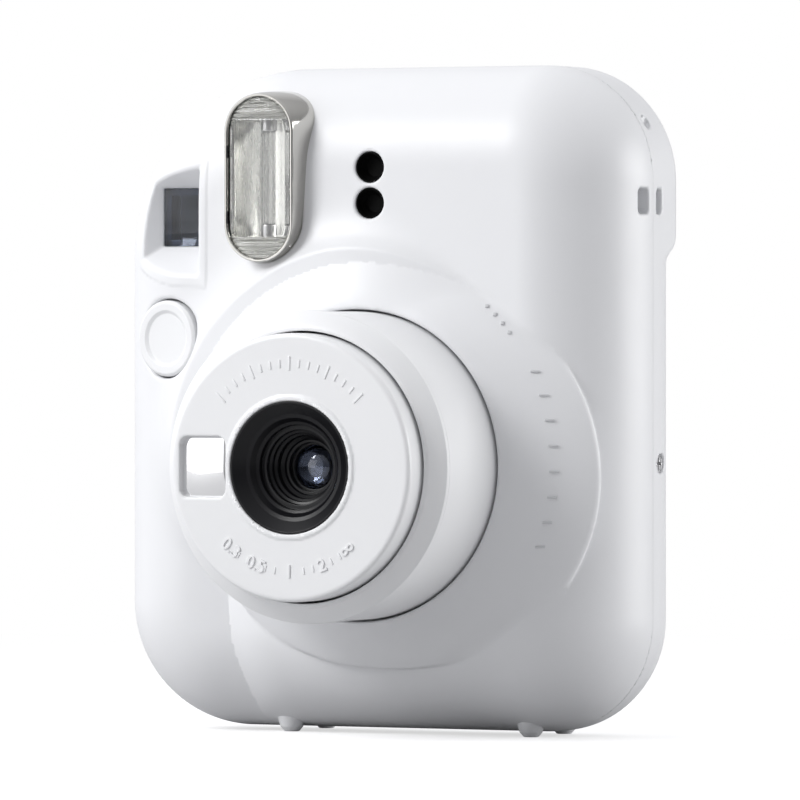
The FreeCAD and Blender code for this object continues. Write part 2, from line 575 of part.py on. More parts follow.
def pack_window_block(margin, start_y, end_y):
    """Upright rectangle of the film pack's window in the door."""
    return block((f"lens_x - pack_window_half_x - {margin}", f"lens_x + pack_window_half_x + {margin}"),
                 (start_y, end_y), (f"pack_window_z - pack_window_half_z - {margin}",
                                    f"pack_window_z + pack_window_half_z + {margin}"))


def middle_knuckle(radius, hole, x, y, low, high):
    """A door's own knuckle between the shell's two, bored for its pin."""
    start, end = f"{low} + ear_height + door_gap", f"{high} - ear_height - door_gap"
    return cut(upright(radius, x, y, start, end), upright(hole, x, y, low, high))


film_leaf = common(rear_skin, film_door_box("0", "door_inner_y"))
subpart("film_door", fuse(
    cut(film_leaf, latch_space, pack_window_block("0", "door_inner_y", "ridge_y"),
        upright("knuckle_clear", "door_hinge_x", "door_hinge_y", "hinge_z_low - door_gap",
                "hinge_z_low + ear_height + door_gap"),
        upright("knuckle_clear", "door_hinge_x", "door_hinge_y",
                "door_z_high - ear_height - door_gap", "door_z_high + wall"),
        upright("hinge_hole", "door_hinge_x", "door_hinge_y", "hinge_z_low", "door_z_high")),
    middle_knuckle("knuckle", "hinge_hole", "door_hinge_x", "door_hinge_y", "hinge_z_low",
                   "door_z_high")))
subpart("pack_window", pack_window_block("0", "rear_y - wall", "rear_y - wall + window_thick"))
subpart("pressure_springs", fuse(*[
    block((f"lens_x + ({side}) * leaf_x - leaf_half_x", f"lens_x + ({side}) * leaf_x + leaf_half_x"),
          ("rear_y - wall - leaf_thick", "rear_y - wall"), ("leaf_z - leaf_half_z", "leaf_z + leaf_half_z"))
    for side in (-1, 1)]))
subpart("door_hinge_pin", upright("hinge_pin", "door_hinge_x", "door_hinge_y", "hinge_z_low + door_gap",
                                  "door_z_high - door_gap"))
subpart("door_latch", fuse(
    block(("latch_x", "latch_x + latch_width"), ("latch_base_y", "latch_neck_y"),
          ("lens_z - latch_half_height", "lens_z + latch_half_height")),
    block(("latch_x", "latch_x + latch_width"), ("latch_neck_y", "latch_top_y"),
          ("lens_z - latch_neck_half", "lens_z + latch_neck_half"))))


def latch_spring_block(margin):
    """Rectangle of the latch's bow spring with a margin inside."""
    return block((f"latch_x + latch_width + {margin}",
                  f"latch_x + latch_width + latch_spring_length - {margin}"),
                 ("latch_base_y", "latch_base_y + latch_spring_thick"),
                 (f"lens_z - latch_spring_half + {margin}", f"lens_z + latch_spring_half - {margin}"))


subpart("latch_spring", cut(latch_spring_block("0"), latch_spring_block("latch_spring_wall")))
cell_leaf = common(both_skin, cell_door_box("0"))
subpart("battery_door", fuse(
    cut(cell_leaf,
        upright("cell_knuckle_clear", "cell_hinge_x", "cell_door_back_y", "cell_door_z_low - wall",
                "cell_door_z_low + ear_height + door_gap"),
        upright("cell_knuckle_clear", "cell_hinge_x", "cell_door_back_y",
                "cell_door_z_high - ear_height - door_gap", "cell_door_z_high + wall"),
        upright("cell_pin_hole", "cell_hinge_x", "cell_door_back_y", "0", "body_top")),
    middle_knuckle("cell_knuckle", "cell_pin_hole", "cell_hinge_x", "cell_door_back_y",
                   "cell_door_z_low", "cell_door_z_high")))
subpart("battery_door_pin", upright("cell_pin", "cell_hinge_x", "cell_door_back_y",
                                    "cell_door_z_low + door_gap", "cell_door_z_high - door_gap"))

# ---------------------------------------------------------------- lens
subpart("lens_ring", turned("lens_ring", [
    ("ring_lip", "ring_front_y"), ("ring_ridge", "ring_ridge_y"),
    ("ring_radius", "ring_ridge_y + wall / 2"), ("ring_radius", "ring_flange_y"),
    ("ring_flange", "ring_flange_y"), ("ring_flange", "ring_back_y"), ("ring_bore", "ring_back_y"),
    ("ring_bore", "ring_lip_back_y"), ("ring_lip", "ring_lip_back_y")]))


def spoke(low, high, width, start_y, end_y, degrees):
    """Bar along the lens axis between two radii, at an angle about that axis."""
    item = doc.addObject("Part::Box", "spoke")
    item.Placement = Placement(Vector(), Rotation(Vector(0, 1, 0), degrees).multiply(AXES["+Y"]))
    bind(item, Length=f"({high}) - ({low})", Width=width, Height=f"({end_y}) - ({start_y})")
    return move(item, f"lens_x + ({low}) * cos({degrees}) + ({width}) / 2 * sin({degrees})", start_y,
                f"lens_z - ({low}) * sin({degrees}) + ({width}) / 2 * cos({degrees})")


def rounded_plate(name, margin, start_y, end_y):
    """Upright plate of the mirror's outline with rounded corners."""
    body = doc.addObject("PartDesign::Body", name)
    half_x, half_z = f"(mirror_width / 2 + {margin})", f"(mirror_height / 2 + {margin})"
    low_x, high_x = f"mirror_x - {half_x}", f"mirror_x + {half_x}"
    low_z, high_z = f"lens_z - {half_z}", f"lens_z + {half_z}"
    corners = [(low_x, low_z), (high_x, low_z), (high_x, high_z), (low_x, high_z)]
    pad = body.newObject("PartDesign::Pad", f"{name}_pad")
    pad.Profile = outline_sketch(body, "XZ_Plane", corners)
    bind(pad, Length=f"({end_y}) - ({start_y})")
    doc.recompute()
    rounding = body.newObject("PartDesign::Fillet", f"{name}_corners")
    rounding.Base = (pad, edge_names(pad.Shape, lambda box: box.XLength < TIGHT and box.ZLength < TIGHT))
    bind(rounding, Radius=f"mirror_corner + {margin}")
    return move(body, "0", end_y, "0")


key_angles = [360 / SIZES["key_count"] * step for step in range(int(SIZES["key_count"]))]
barrel = turned("barrel_blank", [
    ("barrel_bore", "barrel_back_y"), ("barrel_flange", "barrel_back_y"),
    ("barrel_flange", "barrel_flange_y"), ("barrel_radius", "barrel_flange_y"),
    ("barrel_radius", "barrel_face_y + barrel_edge"), ("barrel_radius - barrel_edge", "barrel_face_y"),
    ("barrel_lip", "barrel_face_y"), ("barrel_lip", "lip_front_y"), ("barrel_opening", "lip_front_y"),
    ("barrel_opening", "barrel_wall_y"), ("barrel_bore", "barrel_wall_y")])
keyways = [spoke("guide_bore", "keyway_radius", "keyway_width", "barrel_wall_y + wall",
                 "barrel_back_y + wall", degrees) for degrees in key_angles]
subpart("lens_barrel", cut(
    fuse(barrel, rounded_plate("mirror_boss", "mirror_boss_wall", "barrel_wall_y - mirror_boss_wall",
                               "mirror_boss_y")),
    rounded_plate("mirror_pocket", "0", "barrel_face_y - wall", "mirror_back_y"), *keyways))
subpart("selfie_mirror", rounded_plate("mirror", "-mirror_fit", "mirror_y", "mirror_back_y"))
guide = turned("guide_tube", [
    ("guide_bore", "guide_front_y"), ("guide_radius", "guide_front_y"), ("guide_radius", "guide_flange_y"),
    ("guide_flange", "guide_flange_y"), ("guide_flange", "guide_back_y"), ("guide_bore", "guide_back_y")])
subpart("lens_guide", fuse(guide, *[
    spoke("guide_bore + key_root", "key_radius", "key_width", "guide_front_y", "key_back_y", degrees)
    for degrees in key_angles]))
subpart("lens_hood", turned("lens_hood", [
    ("hood_mouth", "hood_front_y"), ("barrel_opening", "hood_front_y"), ("barrel_opening", "barrel_wall_y"),
    ("hood_body", "barrel_wall_y + wall / 2"), ("hood_body", "hood_back_y"), ("hood_seat", "hood_back_y"),
    ("hood_seat", "hood_seat_y"), ("hood_trap", "hood_seat_y"), ("hood_trap", "hood_trap_y"),
    ("hood_throat", "hood_trap_y"), ("hood_throat", "hood_throat_y"), ("hood_step", "hood_throat_y"),
    ("hood_step", "hood_step_y")]))
subpart("shutter_housing", turned("shutter_housing", [
    ("housing_hole", "hood_back_y"), ("barrel_bore", "hood_back_y"), ("barrel_bore", "housing_back_y"),
    ("housing_hole", "housing_back_y")]))
subpart("lens_cell", turned("lens_cell", [
    ("cell_bore", "housing_back_y"), ("cell_radius", "housing_back_y"), ("cell_radius", "cell_back_y"),
    ("cell_lip", "cell_back_y"), ("cell_lip", "rear_lens_back_y"), ("cell_bore", "rear_lens_back_y")]))


def lens(apex_y, ball, radius, back_y):
    """Plano-convex lens on the lens axis, its dome to the front."""
    dome = doc.addObject("Part::Sphere", "dome")
    bind(dome, Radius=ball)
    move(dome, "lens_x", f"{apex_y} + {ball}", "lens_z")
    return common(dome, along_lens(f"{apex_y} - wall", radius, back_y))


subpart("front_lens", lens("front_lens_apex_y", "front_lens_ball", "front_lens_radius",
                           "housing_back_y - blade_clear"))
subpart("rear_lens", lens("rear_lens_y", "rear_lens_ball", "cell_bore - lens_clear", "rear_lens_back_y"))
blade_pivot = "lens_x + blade_reach"
subpart("aperture_plate", fuse(
    cut(along_lens("aperture_y", "cell_bore", "aperture_back_y"),
        along_lens("housing_back_y", "aperture_radius", "cell_back_y")),
    rod("blade_pin", "aperture_y - housing_back_y", (blade_pivot, "housing_back_y", "lens_z"), "+Y")))
subpart("shutter_blade", cut(
    fuse(along_lens("blade_y", "blade_radius", "blade_y + blade_thick"),
         rod("blade_hub", "blade_thick", (blade_pivot, "blade_y", "lens_z"), "+Y"),
         block(("lens_x", blade_pivot), ("blade_y", "blade_y + blade_thick"),
               ("lens_z - blade_arm / 2", "lens_z + blade_arm / 2"))),
    rod("blade_hole", "wall", (blade_pivot, "blade_y - wall / 2", "lens_z"), "+Y")))

# ---------------------------------------------------------------- viewfinder, flash and sensors
subpart("viewfinder_window", finder_block("0", "finder_y", "finder_y + finder_glass"))
subpart("viewfinder_tube", cut(
    finder_block("finder_wall", "finder_y + finder_glass", "finder_tube_back_y"),
    finder_block("0", "finder_y", "ridge_y")))
subpart("viewfinder_frame", cut(
    eyepiece_block("eyepiece_frame", "eyepiece_base_y", "eyepiece_frame_y"),
    eyepiece_block("eyepiece_half", "finder_y", "ridge_y + wall")))
subpart("viewfinder_eyepiece", eyepiece_block("eyepiece_half", "eyepiece_y - eyepiece_thick", "eyepiece_y"))
subpart("flash_bezel", cut(
    stadium("bezel_width", "bezel_height", "bezel_front_y", "bezel_back_y"),
    stadium("flash_width", "flash_height", "bezel_front_y - wall", "bezel_back_y + wall")))
subpart("flash_window", stadium("flash_width", "flash_height", "flash_front_y", "flash_glass_y"))


def flash_box(start_y, end_y, half_width, half_height):
    """Block centred on the flash window."""
    return block((f"flash_x - {half_width}", f"flash_x + {half_width}"), (start_y, end_y),
                 (f"flash_z - {half_height}", f"flash_z + {half_height}"))


subpart("flash_reflector", cut(
    flash_box("reflector_front_y", "reflector_front_y + reflector_depth", "reflector_half_width",
              "reflector_half_height"),
    upright("reflector_bowl", "flash_x", "reflector_bowl_y", "flash_z - tube_half", "flash_z + tube_half")))
subpart("flash_tube", upright("tube_radius", "flash_x", "tube_y", "flash_z - tube_half",
                              "flash_z + tube_half"))
subpart("flash_capacitor", rod("capacitor_radius", "capacitor_length",
                               ("capacitor_x", "capacitor_y", "capacitor_z"), "+X"))
subpart("light_sensor_windows", fuse(*[
    rod("sensor_radius", "sensor_depth", ("lens_x", "front_y + sensor_inset", level), "+Y")
    for level in ("sensor_z_low", "sensor_z_high")]))
subpart("main_board", block(("board_x_low", "board_x_high"), ("board_y", "board_y + board_thick"),
                            ("board_z_low", "board_z_high")))

# ---------------------------------------------------------------- shutter button
subpart("shutter_button", cut(
    fuse(button_rod("button_radius", "-button_proud", "button_flange_depth + button_flange_thick"),
         button_rod("button_flange", "button_flange_depth", "button_flange_depth + button_flange_thick"),
         button_rod("button_stem", "button_flange_depth", "button_stem_depth")),
    button_rod("button_dish", "-wall", "button_dish_depth - button_proud")))
subpart("shutter_switch", button_rod("button_chamber", "switch_depth", "switch_depth + switch_thick"))
button_spring = coil("button_coil", "button_spring_radius",
                     "switch_depth - button_flange_depth - button_flange_thick - spring_wire * coil_end * 2",
                     "button_spring_turns", "spring_wire")
subpart("button_spring", button_frame(button_spring, "button_flange_depth + button_flange_thick"
                                      " + spring_wire * coil_end"))

# ---------------------------------------------------------------- film path
gate = cut(block(("chassis_x_low", "chassis_x_high"), ("gate_y", "gate_back_y"),
                 ("chassis_z_low", "chassis_z_high")),
           block(("lens_x - gate_width / 2", "lens_x + gate_width / 2"), ("front_y", "rear_y"),
                 ("lens_z - gate_height / 2", "lens_z + gate_height / 2")))
claw_slot = block(("claw_x - claw_slot", "claw_x + claw_width + claw_slot"),
                  ("claw_y", "pack_front_y + pack_wall"),
                  ("claw_z - claw_slot", "claw_z + claw_tip + claw_travel + claw_slot"))
rails = [block((low, high), ("gate_y", "rail_back_y"), ("chassis_z_low", "chassis_z_high"))
         for low, high in (("chassis_x_low", "chassis_x_low + rail_thick"),
                           ("chassis_x_high - rail_thick", "chassis_x_high"))]
floor = block(("chassis_x_low", "chassis_x_high"), ("gate_y", "rail_back_y"),
              ("chassis_z_low", "chassis_z_low + rail_thick"))


def chamber(inset, front_y):
    """Dark chamber that widens from the lens to the film gate."""
    front, half_x = f"(chamber_front_half - {inset})", f"(chamber_back_half_x - {inset})"
    half_z = f"(chamber_back_half_z - {inset})"
    return wedge((f"lens_x - {front}", f"lens_x + {front}"), (front_y, "gate_y"),
                 (f"lens_z - {front}", f"lens_z + {front}"),
                 (f"lens_x - {half_x}", f"lens_x + {half_x}"), (f"lens_z - {half_z}", f"lens_z + {half_z}"))


claw_tab = block(("claw_x", "claw_x + claw_width"),
                 ("claw_spring_y - claw_spring_radius", "gate_y"),
                 ("claw_spring_z + claw_spring_length", "claw_spring_z + claw_spring_length + claw_tab"))
subpart("chassis", cut(
    fuse(gate, *rails, floor, claw_tab,
         cut(chamber("0", "chamber_front_y"), chamber("chamber_wall", "chamber_front_y + chamber_wall"))),
    claw_slot, along_lens("front_y", "guide_bore", "chamber_front_y + chamber_wall * 2")))


def pack_block(inset, start_y, end_y):
    """Block of the film pack's outline with an inset on each side."""
    return block((f"pack_x_low + {inset}", f"pack_x_high - {inset}"), (start_y, end_y),
                 (f"pack_z_low + {inset}", f"pack_z_high - {inset}"))


subpart("film_pack", cut(
    pack_block("0", "pack_front_y", "pack_back_y"),
    pack_block("pack_wall", "pack_front_y + pack_wall", "pack_back_y - pack_wall"), claw_slot,
    block(("lens_x - gate_width / 2 + pack_frame", "lens_x + gate_width / 2 - pack_frame"),
          ("gate_y", "pack_front_y + pack_wall * 2"),
          ("lens_z - gate_height / 2 + pack_frame", "lens_z + gate_height / 2 - pack_frame"))))
subpart("film_sheets", pack_block("sheet_inset", "pack_front_y + pack_wall",
                                  "pack_front_y + pack_wall + sheets_thick"))
subpart("pick_claw", fuse(
    block(("claw_x", "claw_x + claw_width"), ("claw_y", "claw_y + claw_thick"),
          ("claw_z", "claw_z + claw_height")),
    block(("claw_x", "claw_x + claw_width"), ("claw_y", "claw_tip_y"), ("claw_z", "claw_z + claw_tip"))))
claw_coil = coil("claw_coil", "claw_spring_radius", "claw_spring_length - spring_wire * coil_end * 2",
                 "claw_spring_turns", "spring_wire")
subpart("claw_spring", move(claw_coil, "claw_x + claw_width / 2", "claw_spring_y",
                            "claw_spring_z + spring_wire * coil_end"))


def roller_place(y, x="0"):
    """Start of a rod on a roller's axis."""
    return (x, y, "roller_z")


bracket_sides = [block((x, f"{x} + bracket_thick"), ("bracket_y", "bracket_back_y"),
                       ("bracket_z_low", "bracket_z_high"))
                 for x in ("bracket_x_low", "bracket_x_high - bracket_thick")]
bracket_bar = block(("bracket_x_low", "bracket_x_high"),
                    ("bracket_back_y - bracket_bar", "bracket_back_y"),
                    ("bracket_z_low", "bracket_z_high"))
subpart("roller_bracket", cut(fuse(*bracket_sides, bracket_bar), *[
    rod("journal_hole", "body_width", roller_place(y, "-body_width / 2"), "+X")
    for y in ("drive_y", "press_y")]))


def roller(y, journal_end, gear_turn, name):
    """Rubbered roller with its journals and a gear on its left end."""
    drum = rod("roller_radius", "roller_x_high - roller_x_low", roller_place(y, "roller_x_low"), "+X")
    journal = rod("journal", f"{journal_end} - end_gear_x", roller_place(y, "end_gear_x"), "+X")
    end_gear = gear(name, "end_teeth", "end_gear_width")
    turn_gear(end_gear, gear_turn, "end_gear_x", y, "roller_z")
    return fuse(drum, journal, end_gear)


half_pitch = {teeth: 180 / SIZES[teeth]
              for teeth in ("end_teeth", "idler_teeth", "motor_teeth")}
train = SIZES["train_angle"]
subpart("drive_roller", roller("drive_y", "gear_x + gear_width", -90, "drive_end_gear"))
subpart("pressure_roller", roller("press_y", "bracket_x_high", 90 + half_pitch["end_teeth"],
                                  "press_end_gear"))


def train_place(teeth_before):
    """Y and Z of a gear on the straight train below the drive roller's gear."""
    reach = "gear_module / 2 * (" + " + ".join(teeth_before) + ")"
    return f"drive_y - {reach} * cos(train_angle)", f"roller_z - {reach} * sin(train_angle)"


idler_y, idler_z = train_place(["drive_teeth", "idler_teeth"])
motor_y, motor_z = train_place(["drive_teeth", "idler_teeth * 2", "motor_teeth"])
drive_gear = turn_gear(gear("drive_gear_blank", "drive_teeth", "gear_width"), train - 90, "gear_x",
                       "drive_y", "roller_z")
idler_gear = turn_gear(gear("idler_gear_blank", "idler_teeth", "gear_width"),
                       train + 90 + half_pitch["idler_teeth"], "gear_x", idler_y, idler_z)
motor_gear = turn_gear(gear("motor_gear_blank", "motor_teeth", "gear_width"),
                       train + 90 + half_pitch["motor_teeth"], "gear_x", motor_y, motor_z)
subpart("roller_gear", cut(drive_gear, rod("journal", "body_width", roller_place("drive_y"), "+X")))
subpart("idler_gear", cut(idler_gear, rod("stud_hole", "body_width", ("0", idler_y, idler_z), "+X")))
subpart("motor_gear", fuse(motor_gear, rod(
    "motor_shaft", "gear_x + gear_width - gear_plate_x + motor_bore - door_gap",
    ("gear_plate_x - motor_bore + door_gap", motor_y, motor_z), "+X")))
subpart("gear_plate", fuse(
    cut(block(("gear_plate_x", "gear_plate_x + gear_plate_thick"), ("gear_plate_y", "gear_plate_back_y"),
              ("gear_plate_z", "gear_plate_top")),
        rod("journal_hole", "body_width", roller_place("drive_y"), "+X"),
        rod("motor_hole", "body_width", ("0", motor_y, motor_z), "+X")),
    rod("stud", "gear_x + gear_width - gear_plate_x", ("gear_plate_x", idler_y, idler_z), "+X")))
subpart("motor", cut(
    rod("motor_radius", "gear_plate_x - motor_x", ("motor_x", motor_y, motor_z), "+X"),
    rod("motor_hole", "motor_bore + wall", ("gear_plate_x - motor_bore", motor_y, motor_z), "+X")))

# ---------------------------------------------------------------- power and counter
cells = []
for step in range(2):
    base = f"battery_z + {step} * (battery_length + battery_tip_height + battery_gap)"
    cells.append(fuse(
        upright("battery_radius", "cell_x", "cell_y", base, f"{base} + battery_length"),
        upright("battery_tip", "cell_x", "cell_y", base, f"{base} + battery_length + battery_tip_height")))
subpart("battery_cells", fuse(*cells))
battery_top = "battery_z + 2 * (battery_length + battery_tip_height) + battery_gap"
subpart("battery_contacts", fuse(*[
    block(("cell_x - contact_half", "cell_x + contact_half"),
          ("cell_y - contact_half", "cell_y + contact_half"), (low, f"{low} + contact_thick"))
    for low in ("battery_z - contact_thick", battery_top)]))
subpart("counter_window", counter_block("counter_y", "counter_y + counter_thick"))
subpart("counter_dial", cut(
    rod("dial_radius", "dial_thick", ("dial_x", "dial_y", "dial_z"), "+Y"),
    rod("dial_hole", "wall * 2", ("dial_x", "dial_y - wall", "dial_z"), "+Y")))

doc.recompute()
for item in doc.Objects:
    if "Invalid" in item.State or "Error" in item.State:
        raise RuntimeError(f"{item.Label} failed: {item.State}")
os.makedirs("parts", exist_ok=True)
for item in subparts:
    if item.Shape.isNull() or not item.Shape.isValid():
        raise RuntimeError(f"{item.Label} has no valid shape")
    item.Shape.exportStep(f"parts/{item.Label}.step")
    print(f"{item.Label}: {len(item.Shape.Solids)} solids, {item.Shape.Volume:.1f} mm3")
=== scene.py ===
"""Looks of the instant camera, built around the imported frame. Fields and sizes are in millimetres."""

from math import acos, asin, atan2, ceil, cos, hypot, pi, radians, sin, sqrt, tan

import bmesh
import bpy
import numpy as np
from mathutils import Matrix, Vector


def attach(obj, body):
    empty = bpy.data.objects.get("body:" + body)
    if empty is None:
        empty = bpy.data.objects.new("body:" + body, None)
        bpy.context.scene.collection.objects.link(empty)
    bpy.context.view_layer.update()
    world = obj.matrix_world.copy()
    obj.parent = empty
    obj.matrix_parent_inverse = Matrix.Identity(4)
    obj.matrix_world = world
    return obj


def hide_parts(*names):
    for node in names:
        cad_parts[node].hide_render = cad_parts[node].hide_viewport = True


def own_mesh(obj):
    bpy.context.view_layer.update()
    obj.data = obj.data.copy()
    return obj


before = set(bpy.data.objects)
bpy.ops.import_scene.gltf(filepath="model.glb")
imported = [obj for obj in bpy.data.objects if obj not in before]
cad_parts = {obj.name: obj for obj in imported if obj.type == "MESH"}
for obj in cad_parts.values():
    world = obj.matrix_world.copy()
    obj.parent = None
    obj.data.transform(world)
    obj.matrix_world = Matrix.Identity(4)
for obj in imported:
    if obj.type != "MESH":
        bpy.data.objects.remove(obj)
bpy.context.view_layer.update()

MM = 0.001
LENS_X, LENS_Z = 4.0, 49.3
FRONT_Y, PARTING_Y, REAR_Y, RIDGE_Y = -1.8, 17.2, 30.5, 33.3
BASE_Z, TOP_Z, HALF_WIDTH = 0.8, 122.0, 52.0
WALL = 2.0
COLLAR_R, COLLAR_Y = 28.8, -7.1
FLASH_X, FLASH_Z, FLASH_STRAIGHT = -16.6, 101.6, 8.35
FILM_HINGE_X, FILM_HINGE_Y, KNUCKLE_GAP = 46.6, 27.2, 2.45
CELL_HINGE_X, CELL_HINGE_Y = -49.2, 25.3
BUTTON = (-37.98, -1.25, 72.3)
TILT = radians(14)
INWARD, TO_BACK, UP = (sin(TILT), cos(TILT), 0), (0, 1, 0), (0, 0, 1)
BARREL_FACE_Y = -33.0
SENSOR_Z = (96.9, 103.4)
SIDE_SCREW_YZ, BASE_SCREW_X, BASE_SCREW_Y = (20.8, 49.6), 24, 22.8
scene = bpy.context.scene


# ---- fields
def smax(a, b, k):
    """Intersection whose convex edges are rounded over about k."""
    h = np.maximum(k - np.abs(a - b), 0)
    return np.maximum(a, b) + h * h / (4 * k)


def smin(a, b, k):
    """Union whose concave corners are filled over about k."""
    return -smax(-a, -b, k)


def carve(solid, hole, k):
    """Solid with a hole taken away, the hole's edges rounded over about k."""
    return smax(solid, -hole, k)


def step(t):
    """Smooth ramp from 0 to 1 for t from 0 to 1."""
    t = np.clip(t, 0, 1)
    return t * t * (3 - 2 * t)


def box_field(x, y, z, low, high, radius=0.0):
    """Distance to a box between two corners, its edges rounded."""
    a, b, c = (np.abs(v - (l + h) / 2) - (h - l) / 2 + radius for v, l, h in zip((x, y, z), low, high))
    outside = np.sqrt(np.maximum(a, 0) ** 2 + np.maximum(b, 0) ** 2 + np.maximum(c, 0) ** 2)
    return outside + np.minimum(np.maximum(np.maximum(a, b), c), 0) - radius


def rod_field(a, b, radius):
    """Distance to an endless rod from the two offsets across it."""
    return np.hypot(a, b) - radius


def slab(edge, face, radius):
    """Solid inside an outline and behind a face, with a rounded edge between them."""
    a, b = edge + radius, face + radius
    return np.minimum(np.maximum(a, b), 0) + np.hypot(np.maximum(a, 0), np.maximum(b, 0)) - radius


def outline(x, z):
    """Distance to the camera's outline in the XZ plane, whose four corners have their own radii."""
    pz = z - (BASE_Z + TOP_Z) / 2
    radius = np.where(x < 0, np.where(pz > 0, 35.0, 23.0), np.where(pz > 0, 21.0, 20.5))
    return slab(np.abs(x) - HALF_WIDTH, np.abs(pz) - (TOP_Z - BASE_Z) / 2, radius)


def grip_depth(x, z):
    """How far the finger grip's valley lies behind the plain front."""
    crease = -26.3 + 3.4 * step((24 - z) / 24)
    u = x - crease
    left = np.clip(1 + u / 19, 0, 1) ** 2
    right = np.clip(1 - u / 9, 0, 1) ** 2
    return 2.7 * np.where(u < 0, left, right) * step((66 - z) / 24)


def collar_span(across, up):
    """How far the collar reaches in a direction from the lens, how much it falls back, and how it flares."""
    right = np.maximum(0.99 * across - 0.139 * up, 0) ** 2
    return 36.8 + 8.7 * right, 5.3 + 2.7 * right, 0.88 - 0.2 * right


def collar_depth(r, reach, rise, flare):
    """Depth of the collar's flared face at a radius."""
    t = (r - COLLAR_R) / (reach - COLLAR_R)
    return COLLAR_Y + rise * np.where(t < 0, flare * t, 1 - np.clip(1 - t, 0, 1) ** flare)


def front_skin(x, y, z):
    """Closed outer solid of the front half, with the collar and the grip."""
    sunk = y - grip_depth(x, z) * step((14 - y) / 12)
    body = slab(outline(x, z), FRONT_Y - sunk, 18.5)
    dx, dz = x - LENS_X, z - LENS_Z
    r = np.hypot(dx, dz) + 1e-6
    reach, rise, flare = collar_span(dx / r, dz / r)
    top = (collar_depth(r, reach, rise, flare) - y) * 0.78
    edge = (r - reach + 0.6 * np.maximum(y - COLLAR_Y - rise, 0)) / 1.17
    collar = smax(smax(top, COLLAR_Y - y, 1.2), edge, 0.5)
    collar = np.maximum(np.maximum(collar, r - 60), y - 9)
    upper_left = step((-0.75 * dx + 0.66 * dz) / r * 1.25 - 0.05)
    return smin(body, collar, 0.6 + 11 * upper_left)


def rear_skin(x, y, z):
    """Closed outer solid of the rear half, with the viewfinder ridge."""
    edge = outline(x, z)
    body = slab(edge, y - REAR_Y, 10.0)
    band = smax((88 + 2.5 * (y - REAR_Y) - z) / hypot(1, 2.5), 88.2 - z, 3)
    return np.maximum(smin(body, smax(slab(edge, y - RIDGE_Y, 8.0), band, 2.5), 2.5), edge)


def hollowed(skin):
    """Wall of even thickness behind a skin."""
    return smax(skin, -(skin + WALL), 0.3)


def funnel(x, y, z, margin):
    """Four-sided recess in front of the viewfinder's window."""
    sides = []
    for v, wide, narrow, way in ((x, -48.0, -42.0, -1), (x, -31.2, -32.5, 1),
                                 (z, 84.0, 89.3, -1), (z, 104.2, 100.0, 1)):
        slope = (narrow - wide) / 6.9
        sides.append(way * (v - wide - slope * (y + 1.9)) / hypot(1, slope) - margin)
    return smax(smax(sides[0], sides[1], 0.5), smax(sides[2], sides[3], 0.5), 0.5)


def stadium_field(x, z, width, height):
    """Distance to an upright stadium at the flash."""
    dz = np.maximum(np.abs(z - FLASH_Z) - (height - width) / 2, 0)
    return np.hypot(x - FLASH_X, dz) - width / 2


def button_axes(x, y, z):
    """Depth along the button's axis and distance from it."""
    dx, dy = x - BUTTON[0], y - BUTTON[1]
    depth = dx * sin(TILT) + dy * cos(TILT)
    return depth, np.hypot(dx * cos(TILT) - dy * sin(TILT), z - BUTTON[2])


def cell_door_space(x, y, z, gap):
    """Space of the battery door with an even gap."""
    return box_field(x, y, z, (-70, 9.3 - gap, 19 - gap), (-43, CELL_HINGE_Y + gap, 75 + gap), 0.8)


def film_door_space(x, y, z, gap):
    """Space of the film door with an even gap."""
    return box_field(x, y, z, (-30 - gap, 26.5, 8 - gap), (FILM_HINGE_X + gap, 50, 86 + gap), 1.2)


def strap_slot(x, y, z, low_y, high_y):
    """One of the two slots beside the strap bar."""
    return box_field(x, y, z, (46, low_y, 94.8), (60, high_y, 99.5), 0.9)


def front_field(x, y, z):
    """Front shell."""
    skin = front_skin(x, y, z)
    solid = hollowed(skin)
    solid = smin(solid, smax(np.maximum(funnel(x, y, z, 1.5), y - 6.2), skin, 0.3), 0.6)
    solid = np.minimum(solid, np.maximum(box_field(x, y, z, (44.6, 10.8, 93.3), (60, 20, 101)), skin))
    solid = smax(solid, y - PARTING_Y, 0.2)
    # the lens, the viewfinder, the flash, the button and the sensors
    solid = carve(solid, np.hypot(x - LENS_X, z - LENS_Z) - 28.3, 0.6)
    solid = carve(solid, np.maximum(funnel(x, y, z, 0.0), y - 5.0), 0.7)
    solid = carve(solid, box_field(x, y, z, (-42, 3, 89.3), (-32.5, 12, 100)), 0.3)
    solid = carve(solid, np.maximum(stadium_field(x, z, 13.9, 30.6), y - 12), 0.4)
    depth, rho = button_axes(x, y, z)
    solid = carve(solid, np.maximum(rho - 7.35, depth - 9), 0.8)
    for level in SENSOR_Z:
        solid = carve(solid, np.maximum(np.hypot(x - LENS_X, z - level) - 2.85, y - 8), 0.5)
    solid = carve(solid, strap_slot(x, y, z, 12.3, 15.6), 0.5)
    return carve(solid, cell_door_space(x, y, z, 0.3), 0.35)


